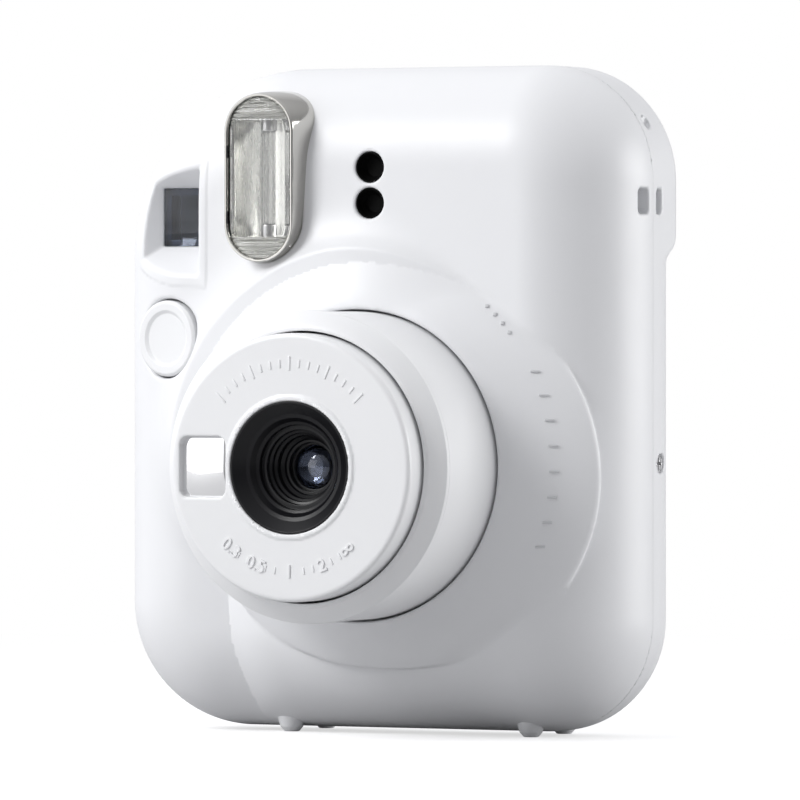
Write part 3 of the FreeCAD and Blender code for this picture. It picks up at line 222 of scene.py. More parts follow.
def rear_field(x, y, z):
    """Rear shell."""
    skin = rear_skin(x, y, z)
    solid = hollowed(skin)
    solid = np.minimum(solid, np.maximum(box_field(x, y, z, (44.6, 14, 93.3), (60, 22.6, 101)), skin))
    solid = smax(solid, PARTING_Y - y, 0.2)
    solid = carve(solid, film_door_space(x, y, z, 0.3), 0.35)
    solid = carve(solid, cell_door_space(x, y, z, 0.3), 0.35)
    # room for the film door's knuckle and its corner when it is open, then the ears that hold its pin
    hinge = np.hypot(x - FILM_HINGE_X, y - FILM_HINGE_Y)
    solid = carve(solid, smax(hinge - KNUCKLE_GAP, np.abs(z - 47) - 39.3, 0.3), 0.3)
    solid = carve(solid, box_field(x, y, z, (46, FILM_HINGE_Y, 78.6), (50.4, 36, 86.3), 1.0), 0.3)
    web = np.maximum(np.abs(y - FILM_HINGE_Y) - 0.9, np.maximum(FILM_HINGE_X - x, x - 49.4))
    ear = np.maximum(np.minimum(hinge - 1.8, web), np.abs(np.abs(z - 51) - 32) - 3)
    solid = np.minimum(solid, np.maximum(ear, skin))
    # the eyepiece, the counter, the film exit, the strap, the side marks and the screws
    solid = carve(solid, box_field(x, y, z, (-43.25, 29.8, 88.65), (-31.25, 40, 100.65), 1.0), 0.4)
    solid = carve(solid, box_field(x, y, z, (-40.7, 26, 82.4), (-36.3, 40, 86.8), 0.5), 0.4)
    solid = carve(solid, box_field(x, y, z, (-26, 17.8, 112), (34, 22.2, 130), 1.0), 0.25)
    solid = carve(solid, strap_slot(x, y, z, 18.8, 21.0), 0.5)
    solid = carve(solid, np.maximum(rod_field(y - 20.3, z - 111.5, 1.2), 48.2 - x), 0.4)
    solid = carve(solid, np.maximum(rod_field(y - SIDE_SCREW_YZ[0], z - SIDE_SCREW_YZ[1], 1.75), 50.1 - x), 0.3)
    for side in (-BASE_SCREW_X, BASE_SCREW_X):
        solid = carve(solid, np.maximum(rod_field(x - side, y - BASE_SCREW_Y, 1.75), z - 2.7), 0.3)
    return solid


def film_door_field(x, y, z):
    """Film door's leaf with its knuckle, its window, the latch's seat and a raised frame round the window."""
    skin = rear_skin(x, y, z)
    leaf = smax(hollowed(skin), film_door_space(x, y, z, 0.0), 0.5)
    frame_rim = smax(box_field(x, y, z, (-4.4, 26, 31.6), (12.4, 32, 60.4), 2.2), np.abs(y - 30.3) - 0.65, 0.4)
    leaf = smin(leaf, frame_rim, 0.5)
    hinge = np.hypot(x - FILM_HINGE_X, y - FILM_HINGE_Y)
    leaf = carve(leaf, np.maximum(hinge - KNUCKLE_GAP, 28.7 - np.abs(z - 51)), 0.3)
    leaf = np.minimum(leaf, smax(hinge - 1.8, np.abs(z - 51) - 28.7, 0.3))
    leaf = carve(leaf, np.maximum(hinge - 0.86, np.abs(z - 51) - 60), 0.2)
    leaf = carve(leaf, box_field(x, y, z, (-2, 20, 34), (10, 40, 58), 1.2), 0.5)
    leaf = carve(leaf, box_field(x, y, z, (-40, 29.35, 42.15), (-18.45, 30.15, 56.45)), 0.2)
    return carve(leaf, box_field(x, y, z, (-40, 29.5, 43.15), (-18.45, 40, 55.45), 0.8), 0.4)


def battery_door_field(x, y, z):
    """Battery door's leaf with its knuckle and three ribs for a finger."""
    skin = np.where(y < PARTING_Y, front_skin(x, y, z), rear_skin(x, y, z))
    ribs = np.abs(np.mod(y - 11.2, 1.6) - 0.8) - 0.35
    ribs = smax(ribs, np.maximum(np.abs(y - 13.6) - 2.4, np.abs(z - 47) - 11), 0.3)
    leaf = smin(hollowed(skin), smax(ribs, skin, 0.2), 0.3)
    leaf = smax(leaf, cell_door_space(x, y, z, 0.0), 0.5)
    leaf = carve(leaf, smax(ribs, -skin - 0.35, 0.3), 0.25)
    hinge = np.hypot(x - CELL_HINGE_X, y - CELL_HINGE_Y)
    leaf = carve(leaf, np.maximum(hinge - 1.8, 21.7 - np.abs(z - 47)), 0.3)
    leaf = np.minimum(leaf, smax(hinge - 1.3, np.abs(z - 47) - 21.7, 0.3))
    return carve(leaf, np.maximum(hinge - 0.66, np.abs(z - 47) - 60), 0.2)


def barrel_field(x, y, z):
    """Sliding barrel: a cup about the lens with a rounded rim, a raised lip and a pocket for the mirror."""
    r = np.hypot(x - LENS_X, z - LENS_Z)
    cup = smax(smax(r - 24.0, BARREL_FACE_Y - y, 1.0), y + 8.0, 0.6)
    flange = np.maximum(r - 25.8, np.abs(y + 8.8) - 0.8)
    lip = smax(np.abs(r - 12.1) - 0.75, -33.3 - y, 0.4)
    cup = np.minimum(cup, flange)
    cup = smin(cup, np.maximum(lip, y + 31.5), 0.4)
    cup = carve(cup, np.maximum(r - 22.4, -31.0 - y), 0.4)
    mx, mz = x + 13.6, z - LENS_Z
    boss = box_field(mx, y, mz, (-5.5, -32, -6.4), (5.5, -29.8, 6.4), 0.8)
    cup = np.minimum(cup, np.maximum(boss, r - 23.2))
    cup = carve(cup, r - 11.9, 0.3)
    return carve(cup, box_field(mx, y, mz, (-4.6, -40, -5.5), (4.6, -30.8, 5.5), 1.6), 0.35)


def latch_field(x, y, z):
    """Latch's thumb piece with a scooped, ribbed face."""
    base = box_field(x, y, z, (-29.4, 29.4, 42.3), (-21.4, 30.0, 56.3), 0.2)
    thumb = box_field(x, y, z, (-29.4, 29.6, 43.3), (-21.4, 31.4, 55.3), 0.7)
    ribs = smax(np.abs(np.mod(x + 28.6, 1.5) - 0.75) - 0.3, np.abs(z - LENS_Z) - 4.4, 0.3)
    return smin(base, carve(thumb, smax(smax(ribs, 30.95 - y, 0.2), np.abs(x + 25.4) - 2.9, 0.2), 0.25), 0.3)


# ---- meshes
CORNERS = np.array([(i, j, k) for i in (0, 1) for j in (0, 1) for k in (0, 1)])
EDGES = [(a, b) for a in range(8) for b in range(a + 1, 8) if np.abs(CORNERS[a] - CORNERS[b]).sum() == 1]


def sampled(field, low, shape, pitch):
    """Field on a grid, worked out only in the blocks near the surface."""
    side = 8
    count = [ceil(n / side) for n in shape]
    values = np.empty([c * side for c in count], np.float32)
    starts = np.stack(np.meshgrid(*[np.arange(c) for c in count], indexing="ij"), -1).reshape(-1, 3) * side
    middle = low + (starts + (side - 1) / 2) * pitch
    near = field(*middle.T)
    blocks = values.reshape(count[0], side, count[1], side, count[2], side).transpose(0, 2, 4, 1, 3, 5)
    reach = 1.35 * pitch * side * sqrt(3) / 2
    inner = np.stack(np.meshgrid(*[np.arange(side)] * 3, indexing="ij"), -1).reshape(-1, 3)
    index = starts // side
    far = np.abs(near) > reach
    blocks[tuple(index[far].T)] = near[far].astype(np.float32)[:, None, None, None]
    chosen = np.flatnonzero(~far)
    for part in np.array_split(chosen, max(1, len(chosen) // 400)):
        points = low + (starts[part][:, None, :] + inner[None]) * pitch
        found = field(points[..., 0], points[..., 1], points[..., 2])
        blocks[tuple(index[part].T)] = found.reshape(-1, side, side, side).astype(np.float32)
    return values


def net(values, low, pitch):
    """Surface net of a sampled field: one point in each crossed cell, one quad across each crossed edge."""
    inside = values < 0
    cells = tuple(n - 1 for n in values.shape)
    total = np.zeros(cells, np.uint8)
    for i, j, k in CORNERS:
        total += inside[i:i + cells[0], j:j + cells[1], k:k + cells[2]]
    active = np.argwhere((total > 0) & (total < 8))
    corner = np.stack([values[tuple((active + c).T)] for c in CORNERS], 1)
    point, hits = np.zeros((len(active), 3)), np.zeros(len(active))
    for a, b in EDGES:
        va, vb = corner[:, a], corner[:, b]
        crossed = (va < 0) != (vb < 0)
        t = np.where(crossed, va / np.where(crossed, va - vb, 1), 0)
        point += crossed[:, None] * (CORNERS[a] + t[:, None] * (CORNERS[b] - CORNERS[a]))
        hits += crossed
    points = low + (active + point / hits[:, None]) * pitch
    number = np.full(cells, -1, np.int64)
    number[tuple(active.T)] = np.arange(len(active))
    quads = []
    for axis in range(3):
        u, v = [a for a in range(3) if a != axis]
        here = [slice(1, None)] * 3
        here[axis] = slice(0, cells[axis])
        ahead = list(here)
        ahead[axis] = slice(1, cells[axis] + 1)
        first, second = inside[tuple(here)], inside[tuple(ahead)]
        crossed = np.argwhere(first != second)
        base = crossed.copy()
        base[:, u] += 1
        base[:, v] += 1
        keep = (base[:, u] < cells[u]) & (base[:, v] < cells[v])
        base, crossed = base[keep], crossed[keep]
        ring = []
        for du, dv in ((0, 0), (1, 0), (1, 1), (0, 1)):
            cell = base.copy()
            cell[:, u] -= du
            cell[:, v] -= dv
            ring.append(number[tuple(cell.T)])
        quad = np.stack(ring, 1)
        across = np.cross(points[quad[:, 2]] - points[quad[:, 0]], points[quad[:, 3]] - points[quad[:, 1]])
        wrong = (across[:, axis] > 0) != first[tuple(crossed.T)]
        quad[wrong] = quad[wrong][:, ::-1]
        quads.append(quad)
    return points, np.concatenate(quads)


def slope_of(field, points):
    """Field and its gradient at points."""
    e = 0.02
    parts = [(field(*(points + shift).T) - field(*(points - shift).T)) / (2 * e) for shift in np.eye(3) * e]
    return field(*points.T), np.stack(parts, 1)


def settled(field, points, rounds, reach):
    """Points moved onto the field's surface."""
    for _ in range(rounds):
        value, slope = slope_of(field, points)
        move = -(value / np.maximum((slope ** 2).sum(1), 0.2))[:, None] * slope
        length = np.maximum(np.linalg.norm(move, axis=1), 1e-9)
        points = points + move * np.minimum(1, reach / length)[:, None]
    return points


def baked(item):
    """Mesh of an object with its modifiers or its text worked out; the object goes."""
    scene.collection.objects.link(item)
    mesh = bpy.data.meshes.new_from_object(item.evaluated_get(bpy.context.evaluated_depsgraph_get()))
    bpy.data.objects.remove(item)
    return mesh


def smooth_by_angle(mesh, degrees=32):
    """Smooth shading that stops at edges sharper than an angle."""
    mesh.shade_smooth()
    mesh.set_sharp_from_angle(angle=radians(degrees))
    return mesh


def finished(bm, name, outward=False):
    """Mesh from a bmesh, its faces turned outwards if asked."""
    if outward:
        bmesh.ops.recalc_face_normals(bm, faces=bm.faces)
    mesh = bpy.data.meshes.new(name)
    bm.to_mesh(mesh)
    bm.free()
    return mesh


def lofted(bm, rows, ends=0):
    """Quads between rows of equally many vertices: rings, or open rows when ends is 1."""
    for first, second in zip(rows, rows[1:]):
        for s in range(len(first) - ends):
            t = (s + 1) % len(first)
            bm.faces.new((first[s], first[t], second[t], second[s]))


def new_piece(name, mesh, body, slot, material, *nodes):
    """Link a mesh as a piece that rides on a body and stands for CAD nodes."""
    piece = bpy.data.objects.new(name, mesh)
    scene.collection.objects.link(piece)
    mesh.materials.append(material)
    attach(piece, body)
    if nodes:
        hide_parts(*nodes)
    return piece


def grown(name, field, low, high, pitch, faces, body, slot, material, *nodes):
    """Piece whose surface is where a field is 0, thinned to a number of triangles."""
    low, high = np.array(low, float) - 2.5 * pitch, np.array(high, float) + 2.5 * pitch
    shape = np.ceil((high - low) / pitch).astype(int) + 1
    points, quads = net(sampled(field, low, shape, pitch), low, pitch)
    points = settled(field, points, 2, pitch * 0.35)
    mesh = bpy.data.meshes.new(name)
    mesh.from_pydata(points * MM, [], quads)
    if 2 * len(quads) > faces:
        thick = bpy.data.objects.new(f"{name}_dense", mesh)
        thick.modifiers.new("thin", "DECIMATE").ratio = faces / (2 * len(quads))
        thin = baked(thick)
        bpy.data.meshes.remove(mesh)
        mesh = thin
        mesh.name = name
    co = np.empty(len(mesh.vertices) * 3)
    mesh.vertices.foreach_get("co", co)
    points = settled(field, co.reshape(-1, 3) / MM, 2, pitch * 0.3)
    mesh.vertices.foreach_set("co", (points * MM).ravel())
    _, slope = slope_of(field, points)
    slope /= np.maximum(np.linalg.norm(slope, axis=1), 1e-9)[:, None]
    mesh.shade_smooth()
    mesh.update()
    mesh.normals_split_custom_set_from_vertices(slope)
    return new_piece(name, mesh, body, slot, material, *nodes)


def rounded(corners):
    """Profile points from (r, y, radius) corners, each corner turned over its radius."""
    made = []
    count = len(corners)
    for n, (r, y, radius) in enumerate(corners):
        here = np.array([r, y], float)
        if radius == 0 or n in (0, count - 1):
            made.append(here)
            continue
        before, after = np.array(corners[n - 1][:2], float), np.array(corners[n + 1][:2], float)
        a, b = before - here, after - here
        la, lb = np.linalg.norm(a), np.linalg.norm(b)
        a, b = a / la, b / lb
        half = acos(max(-1, min(1, float(a @ b)))) / 2
        reach = min(radius / tan(half), 0.49 * la, 0.49 * lb)
        start, end = here + a * reach, here + b * reach
        for t in np.linspace(0, 1, 7):
            made.append((1 - t) ** 2 * start + 2 * t * (1 - t) * here + t * t * end)
    return made


def lathe_mesh(name, profile, segments):
    """Mesh turned about its own Z axis from (radius, height) points; points on the axis close it."""
    bm = bmesh.new()
    rings = []
    for r, h in profile:
        count = 1 if r < 1e-6 else segments
        turns = [2 * pi * s / segments for s in range(count)]
        rings.append([bm.verts.new((r * MM * cos(a), r * MM * sin(a), h * MM)) for a in turns])
    for first, second in zip(rings, rings[1:]):
        for s in range(segments):
            t = (s + 1) % segments
            a = [first[s % len(first)], first[t % len(first)]]
            b = [second[t % len(second)], second[s % len(second)]]
            face = list(dict.fromkeys(a + b))
            if len(face) > 2:
                bm.faces.new(face)
    return smooth_by_angle(finished(bm, name, True))


def laid(mesh, place, into):
    """Mesh whose own Z axis now points from a place along into."""
    turn = Vector(into).to_track_quat("Z", "Y").to_matrix().to_4x4()
    mesh.transform(Matrix.Translation(Vector(place) * MM) @ turn)
    return mesh


def turned(name, corners, place, into, body, slot, material, *nodes, segments=192):
    """Lathe piece: its axis points from a place along into, its profile from rounded corners."""
    mesh = laid(lathe_mesh(name, rounded(corners), segments), place, into)
    return new_piece(name, mesh, body, slot, material, *nodes)


def loft_mesh(name, loops, closed=False):
    """Mesh through loops of equally many points; the end loops are capped unless the loft is closed."""
    bm = bmesh.new()
    rings = [[bm.verts.new(Vector(p) * MM) for p in loop] for loop in loops]
    lofted(bm, rings + rings[:1] if closed else rings)
    if not closed:
        bm.faces.new(rings[0][::-1])
        bm.faces.new(rings[-1])
    return smooth_by_angle(finished(bm, name, True))


def stadium_loop(half_width, y, steps=28):
    """Loop of an upright stadium at the flash, at one depth."""
    loop = []
    for side in (1, -1):
        for s in range(steps + 1):
            angle = pi * s / steps + (0 if side > 0 else pi)
            loop.append((FLASH_X + half_width * cos(angle), y,
                         FLASH_Z + side * FLASH_STRAIGHT + half_width * sin(angle)))
    return loop


def block_mesh(name, low, high, edge, segments=3):
    """Box with rounded edges between two corners."""
    bm = bmesh.new()
    bmesh.ops.create_cube(bm, size=1)
    for v in bm.verts:
        v.co = Vector([(l + h) / 2 + c * (h - l) for l, h, c in zip(low, high, v.co)]) * MM
    bmesh.ops.bevel(bm, geom=bm.edges[:], offset=edge * MM, segments=segments, profile=0.5, affect="EDGES")
    return smooth_by_angle(finished(bm, name), 50)


def joined(name, meshes):
    """One mesh from several."""
    bm = bmesh.new()
    for mesh in meshes:
        bm.from_mesh(mesh)
        bpy.data.meshes.remove(mesh)
    return finished(bm, name)


def text_mesh(name, text, size, extrude, bevel=0.0, resolution=12):
    """Solid characters centred on their own origin, facing +Z."""
    curve = bpy.data.curves.new(name, "FONT")
    curve.body, curve.size = text, size * MM
    curve.align_x, curve.align_y = "CENTER", "CENTER"
    curve.extrude, curve.bevel_depth = extrude * MM, bevel * MM
    curve.bevel_resolution, curve.resolution_u = 1, resolution
    return baked(bpy.data.objects.new(name, curve))


# ---- materials
def feed(socket, value):
    """Link an output to an input, or set the input to a value."""
    if isinstance(value, bpy.types.NodeSocket):
        socket.id_data.links.new(value, socket)
    else:
        socket.default_value = value


def settings(item, **values):
    """Feed a node's inputs by name, with _ for each space."""
    for socket, value in values.items():
        feed(item.inputs[socket.replace("_", " ")], value)
    return item


def node(tree, kind, **values):
    """New shader node with some inputs fed."""
    return settings(tree.nodes.new(f"ShaderNode{kind}"), **values)


def worked(tree, kind, operation, *values):
    """New maths node with its inputs fed in their order."""
    made = node(tree, kind)
    made.operation = operation
    for socket, value in zip(made.inputs, values):
        feed(socket, value)
    return made


def maths(tree, operation, first, second):
    """Result of a maths node on two outputs or numbers."""
    return worked(tree, "Math", operation, first, second).outputs["Value"]


def shader(name, **values):
    """New node material and its Principled shader with some inputs set."""
    made = bpy.data.materials.new(name)
    made.use_nodes = True
    return made, made.node_tree, settings(made.node_tree.nodes["Principled BSDF"], **values)


def own_frame(tree):
    """Place in the piece's own frame."""
    return node(tree, "TexCoord").outputs["Object"]


def noise(tree, scale, detail=3.0, roughness=0.55):
    """Noise texture in the piece's own frame, its scale in features per millimetre."""
    return node(tree, "TexNoise", Vector=own_frame(tree), Scale=scale / MM, Detail=detail,
                Roughness=roughness).outputs["Fac"]


def ramp(tree, source, low, high, start=0.3, end=0.7):
    """Colour ramp between two colours."""
    made = node(tree, "ValToRGB", Fac=source)
    for stop, position, colour in zip(made.color_ramp.elements, (start, end), (low, high)):
        stop.position, stop.color = position, (*colour, 1)
    return made.outputs["Color"]


def span(tree, source, low, high):
    """Noise mapped onto a range."""
    return node(tree, "MapRange", Value=source, From_Min=0.3, From_Max=0.7, To_Min=low,
                To_Max=high).outputs["Result"]


def finish(tree, main, colour, rough, height, strength, distance):
    """Feed a shader's colour and roughness, and give it a bump whose distance is in millimetres."""
    bump = node(tree, "Bump", Strength=strength, Distance=distance * MM, Height=height)
    settings(main, Base_Color=colour, Roughness=rough, Normal=bump.outputs["Normal"])


def plastic(name, colour, rough, grain=3.0, depth=0.004, spread=0.02, **sockets):
    """Moulded plastic or rubber: fine grain, slight change of tone and of gloss."""
    made, tree, main = shader(name, **sockets)
    dark, light = (tuple(min(1, c * share) for c in colour) for share in (1 - spread, 1 + spread))
    finish(tree, main, ramp(tree, noise(tree, 0.035), dark, light),
           span(tree, noise(tree, 0.12), rough * 0.93, rough * 1.07), noise(tree, grain, 2.0), 0.35, depth)
    return made


def metal(name, colour, rough, stretch=(1, 1, 1), depth=0.002, spread=0.04):
    """Metal whose fine marks are stretched along an axis."""
    made, tree, main = shader(name, Metallic=1.0)
    place = worked(tree, "VectorMath", "MULTIPLY", own_frame(tree), stretch).outputs["Vector"]
    marks = node(tree, "TexNoise", Vector=place, Scale=2.2 / MM, Detail=4).outputs["Fac"]
    dark = tuple(c * (1 - spread) for c in colour)
    finish(tree, main, ramp(tree, marks, dark, colour), span(tree, marks, rough * 0.85, rough * 1.15),
           marks, 0.3, depth)
    return made


def clear(name, colour, rough, ior=1.5, wave=0.02, **sockets):
    """Glass or clear plastic with a faint moulded unevenness."""
    made, tree, main = shader(name, Transmission_Weight=1.0, IOR=ior, **sockets)
    light = tuple(min(1, c * 1.02) for c in colour)
    finish(tree, main, ramp(tree, noise(tree, 0.05), colour, light),
           span(tree, noise(tree, 0.3), rough, rough + 0.01), noise(tree, 0.12, 1.0), 0.15, wave)
    return made


def printed_board(name):
    """Green board with lighter tracks."""
    made, tree, main = shader(name)
    turn = node(tree, "VectorRotate", Vector=own_frame(tree), Angle=pi / 2)
    turn.rotation_type = "X_AXIS"
    tracks = node(tree, "TexBrick", Vector=turn.outputs["Vector"], Scale=0.16 / MM, Mortar_Size=0.05,
                  Color1=(0.008, 0.09, 0.04, 1), Color2=(0.01, 0.11, 0.05, 1), Mortar=(0.04, 0.24, 0.12, 1))
    finish(tree, main, tracks.outputs["Color"], 0.35, tracks.outputs["Fac"], 0.4, 0.03)
    return made


def banded(name, colour, band, level, width):
    """Sleeve with a plain band round it at a level along Z."""
    made, tree, main = shader(name)
    parts = node(tree, "SeparateXYZ", Vector=own_frame(tree))
    wave = maths(tree, "PINGPONG", parts.outputs["Z"], width * MM)
    cut = maths(tree, "GREATER_THAN", wave, level * MM)
    finish(tree, main, ramp(tree, cut, colour, band, 0.4, 0.6), span(tree, noise(tree, 0.3), 0.24, 0.34),
           noise(tree, 0.8), 0.2, 0.01)
    return made


shell_white = plastic("shell_white", (0.80, 0.805, 0.82), 0.40, grain=2.4, depth=0.006, spread=0.008)
lens_white = plastic("lens_white", (0.82, 0.825, 0.835), 0.34, grain=2.8, depth=0.005, spread=0.008)
# Darker grey for the collar's ticks and dots: painted shade standing in for the shadow along their raised edges.
tick_painted_shade = plastic("tick_painted_shade", (0.62, 0.625, 0.64), 0.42, spread=0.01)
mark_white = plastic("mark_white", (0.74, 0.745, 0.76), 0.38, spread=0.01)
black_matte = plastic("black_matte", (0.012, 0.012, 0.014), 0.5, grain=2.0, depth=0.01, spread=0.12)
black_satin = plastic("black_satin", (0.009, 0.009, 0.011), 0.28, grain=3.0, depth=0.004, spread=0.1)
black_gloss = plastic("black_gloss", (0.004, 0.004, 0.005), 0.12, depth=0.001, spread=0.1)
acetal = plastic("acetal", (0.72, 0.70, 0.62), 0.36, spread=0.04)
film_gloss = plastic("film_gloss", (0.02, 0.02, 0.022), 0.1, depth=0.002, spread=0.1)
rubber_black = plastic("rubber_black", (0.018, 0.018, 0.018), 0.72, grain=4.0, depth=0.02, spread=0.15)
steel = metal("steel", (0.62, 0.62, 0.63), 0.3, (1, 1, 0.06))
chrome = metal("chrome", (0.60, 0.59, 0.56), 0.13, depth=0.001, spread=0.02)
reflector_metal = metal("reflector_metal", (0.95, 0.95, 0.92), 0.27, (1, 1, 0.15), depth=0.004, spread=0.03)
sensor_black = plastic("sensor_black", (0.003, 0.003, 0.003), 0.6, spread=0.2, Specular_IOR_Level=0.06)
finder_grey = plastic("finder_grey", (0.075, 0.088, 0.12), 0.35, spread=0.08)
rib_silver = plastic("rib_silver", (0.86, 0.86, 0.82), 0.3, spread=0.03)
funnel_black = plastic("funnel_black", (0.005, 0.005, 0.0065), 0.33, spread=0.1, Specular_IOR_Level=0.3)
mirror_metal = metal("mirror_metal", (0.95, 0.95, 0.955), 0.06, depth=0.0002, spread=0.004)
brass = metal("brass", (0.78, 0.60, 0.28), 0.28)
glass = clear("glass", (0.98, 0.985, 0.98), 0.0)
coated_glass = clear("coated_glass", (0.90, 0.93, 0.97), 0.02, ior=1.6, wave=0.004, Coat_Weight=0.6,
                     Coat_Roughness=0.05, Coat_Tint=(0.82, 0.87, 1.0, 1))
flash_plastic = clear("flash_plastic", (0.985, 0.985, 0.975), 0.01, ior=1.49)
finder_glass = clear("finder_glass", (0.50, 0.55, 0.66), 0.0, ior=1.5)
amber = clear("amber", (0.95, 0.62, 0.12), 0.04)
board_green = printed_board("board_green")
cell_jacket = banded("cell_jacket", (0.02, 0.022, 0.03), (0.45, 0.33, 0.12), 20.0, 26.8)
SHELL, LENS = ("white_shell", shell_white), ("white_lens", lens_white)
FINISHES = (
    (black_matte, "lens_guide shutter_housing chassis shutter_switch"),
    (black_satin, "lens_cell aperture_plate shutter_blade viewfinder_frame film_pack counter_dial"),
    (finder_grey, "viewfinder_tube"), (glass, "rear_lens counter_window flash_tube"),
    (finder_glass, "viewfinder_eyepiece"), (amber, "pack_window"), (brass, "battery_contacts"),
    (steel, "door_hinge_pin battery_door_pin pressure_springs latch_spring roller_bracket gear_plate motor"),
    (rubber_black, "drive_roller pressure_roller"), (acetal, "roller_gear idler_gear motor_gear pick_claw"),
    (board_green, "main_board"), (cell_jacket, "battery_cells flash_capacitor"), (film_gloss, "film_sheets"),
)
SOFT_EDGES = {
    0.5: "viewfinder_frame film_pack flash_capacitor", 0.4: "battery_cells motor", 0.3: "chassis",
    0.25: "viewfinder_eyepiece", 0.2: "viewfinder_tube roller_bracket pick_claw lens_guide film_sheets",
    0.15: "gear_plate shutter_housing", 0.12: "main_board drive_roller pressure_roller counter_dial",
}


def carry_over():
    """Give each CAD node that stays its material, welded normals and soft edges."""
    for material, names in FINISHES:
        for name in names.split():
            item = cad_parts[name]
            for place in item.material_slots:
                place.material = material
            item.modifiers.new("weld", "WELD").merge_threshold = 0.002 * MM
    for width, names in SOFT_EDGES.items():
        for name in names.split():
            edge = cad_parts[name].modifiers.new("soft_edge", "BEVEL")
            edge.width, edge.segments = width * MM, 2
            edge.limit_method, edge.angle_limit = "ANGLE", radians(50)
            edge.use_clamp_overlap = True


# ---- shells and doors
grown("front_shell", front_field, (-52, -7.4, 0.5), (52, 17.5, 122.2), 0.5, 190000,
      "root", *SHELL, "front_cover")
grown("rear_shell", rear_field, (-52, 16.9, 0.5), (52, 33.5, 122.2), 0.55, 170000,
      "root", *SHELL, "rear_cover")
grown("film_door_leaf", film_door_field, (-30.3, 25, 7.5), (49, 31.3, 86.5), 0.45, 90000,
      "film_door", *SHELL, "film_door")
grown("battery_door_leaf", battery_door_field, (-52.3, 8.8, 18.5), (-42.5, 27, 75.5), 0.4, 60000,
      "battery_door", *SHELL, "battery_door")
grown("latch_thumb", latch_field, (-29.6, 29.2, 42.1), (-21.2, 31.6, 56.5), 0.2, 30000,
      "door_latch", "white_shell", mark_white, "door_latch")

# ---- lens
grown("barrel_cup", barrel_field, (-22, -33.5, 23.3), (30, -7.8, 75.3), 0.4, 150000,
      "lens_barrel", *LENS, "lens_barrel")


def lens_turned(name, corners, body, slot, material, *nodes, **more):
    """Lathe piece on the lens axis: its corners are (radius, y, rounding)."""
    return turned(name, corners, (LENS_X, 0, LENS_Z), TO_BACK, body, slot, material, *nodes, **more)


lens_turned("turning_ring", [
    (26.2, -1.4, 0), (29.6, -1.4, 0.4), (29.6, -2.9, 0.4), (27.9, -2.9, 0.3), (27.9, -24.7, 0.08),
    (27.5, -24.8, 0.08), (27.5, -25.05, 0.08), (28.1, -25.15, 0.1), (28.05, -26.0, 0.4), (25.2, -28.3, 1.0),
    (24.4, -28.3, 0.25), (24.4, -26.6, 0.3), (26.2, -26.6, 0.3), (26.2, -1.4, 0)],
    "lens_ring", *LENS, "lens_ring", segments=256)
lens_turned("lens_funnel", [
    (11.9, -31.0, 0), (11.9, -33.1, 0.15), (11.5, -33.1, 0.15), (9.6, -31.4, 0.3), (8.9, -31.2, 0.3),
    (8.2, -30.2, 0.2), (7.6, -29.9, 0.2), (7.6, -28.8, 0.15), (6.7, -28.8, 0.2), (6.7, -27.9, 0.1),
    (6.2, -27.7, 0.1), (6.2, -26.9, 0.1), (5.7, -26.6, 0.1), (5.7, -25.4, 0.1), (5.1, -25.0, 0.1),
    (4.9, -24.6, 0.1), (4.4, -24.6, 0.15), (4.4, -23.4, 0), (10.4, -23.4, 0.3), (10.4, -30.0, 0.3),
    (11.9, -31.0, 0)], "lens_barrel", "black_plastic", funnel_black, "lens_hood")
BALL, GLASS_R, GLASS_Y = 6.0, 3.95, -23.9
dome = [(BALL * sin(a), GLASS_Y + BALL * (1 - cos(a)), 0)
        for a in np.linspace(0, asin(GLASS_R / BALL), 14)]
lens_turned("front_element", dome + [(GLASS_R, -22.35, 0.1), (0, -22.35, 0)],
            "lens_barrel", "clear_glass", coated_glass, "front_lens", segments=96)


def rounded_pane(name, low, high, corner, edge):
    """Upright pane whose outline has round corners and whose face has a fine bevel."""
    left, right, bottom, top = low[0] + corner, high[0] - corner, low[2] + corner, high[2] - corner
    loops = []
    for inset, y in ((edge, low[1]), (edge * 0.3, low[1] + edge * 0.3), (0, low[1] + edge), (0, high[1])):
        loop = []
        for x, z, start in ((right, top, 0), (left, top, 90), (left, bottom, 180), (right, bottom, 270)):
            for s in range(9):
                angle = radians(start + 90 * s / 8)
                loop.append((x + (corner - inset) * cos(angle), y, z + (corner - inset) * sin(angle)))
        loops.append(loop)
    return loft_mesh(name, loops)


new_piece("portrait_mirror", rounded_pane("portrait_mirror", (-18.1, -31.9, 43.9), (-9.1, -30.8, 54.7), 1.5, 0.15),
          "lens_barrel", "mirror", mirror_metal, "selfie_mirror")


SCALE_R = 18.6


def on_barrel(mesh, degrees, turned_over=False):
    """Lay a mesh that faces the front on the barrel's face, at an angle round the lens."""
    angle = radians(degrees)
    centre = Vector((LENS_X + SCALE_R * sin(angle), BARREL_FACE_Y, LENS_Z + SCALE_R * cos(angle)))
    spin = Matrix.Rotation(angle + (pi if turned_over else 0), 4, "Y")
    mesh.transform(Matrix.Translation(centre * MM) @ spin)
    return mesh


def scale_number(text, degrees):
    """Raised number that is read from outside above the lens and from inside below it."""
    mesh = text_mesh("number", text, 3.22, 0.21, 0.05, 6)
    mesh.transform(Matrix.Rotation(pi / 2, 4, "X"))
    return on_barrel(mesh, degrees, cos(radians(degrees)) < 0)


def scale_bar(degrees, length, width):
    """Small raised bar of the scale."""
    low = (-width / 2, -0.16, -length / 2)
    return on_barrel(block_mesh("bar", low, [-v for v in low], 0.12, 2), degrees)


numbers = {"0.3": 219, "0.5": 201, "1": 180, "2": 159, "∞": 141}
marks = [scale_bar(d, 2.6 if n % 4 == 0 else 1.5, 0.42) for n, d in enumerate(np.arange(-48, 49, 6))]
marks += [scale_bar(d, 1.3, 0.38) for d in np.arange(141, 220, 6) if min(abs(d - c) for c in numbers.values()) > 4]
marks += [scale_number(text, degrees) for text, degrees in numbers.items()]
new_piece("scale_marks", smooth_by_angle(joined("scale_marks", marks)), "lens_barrel", *LENS)


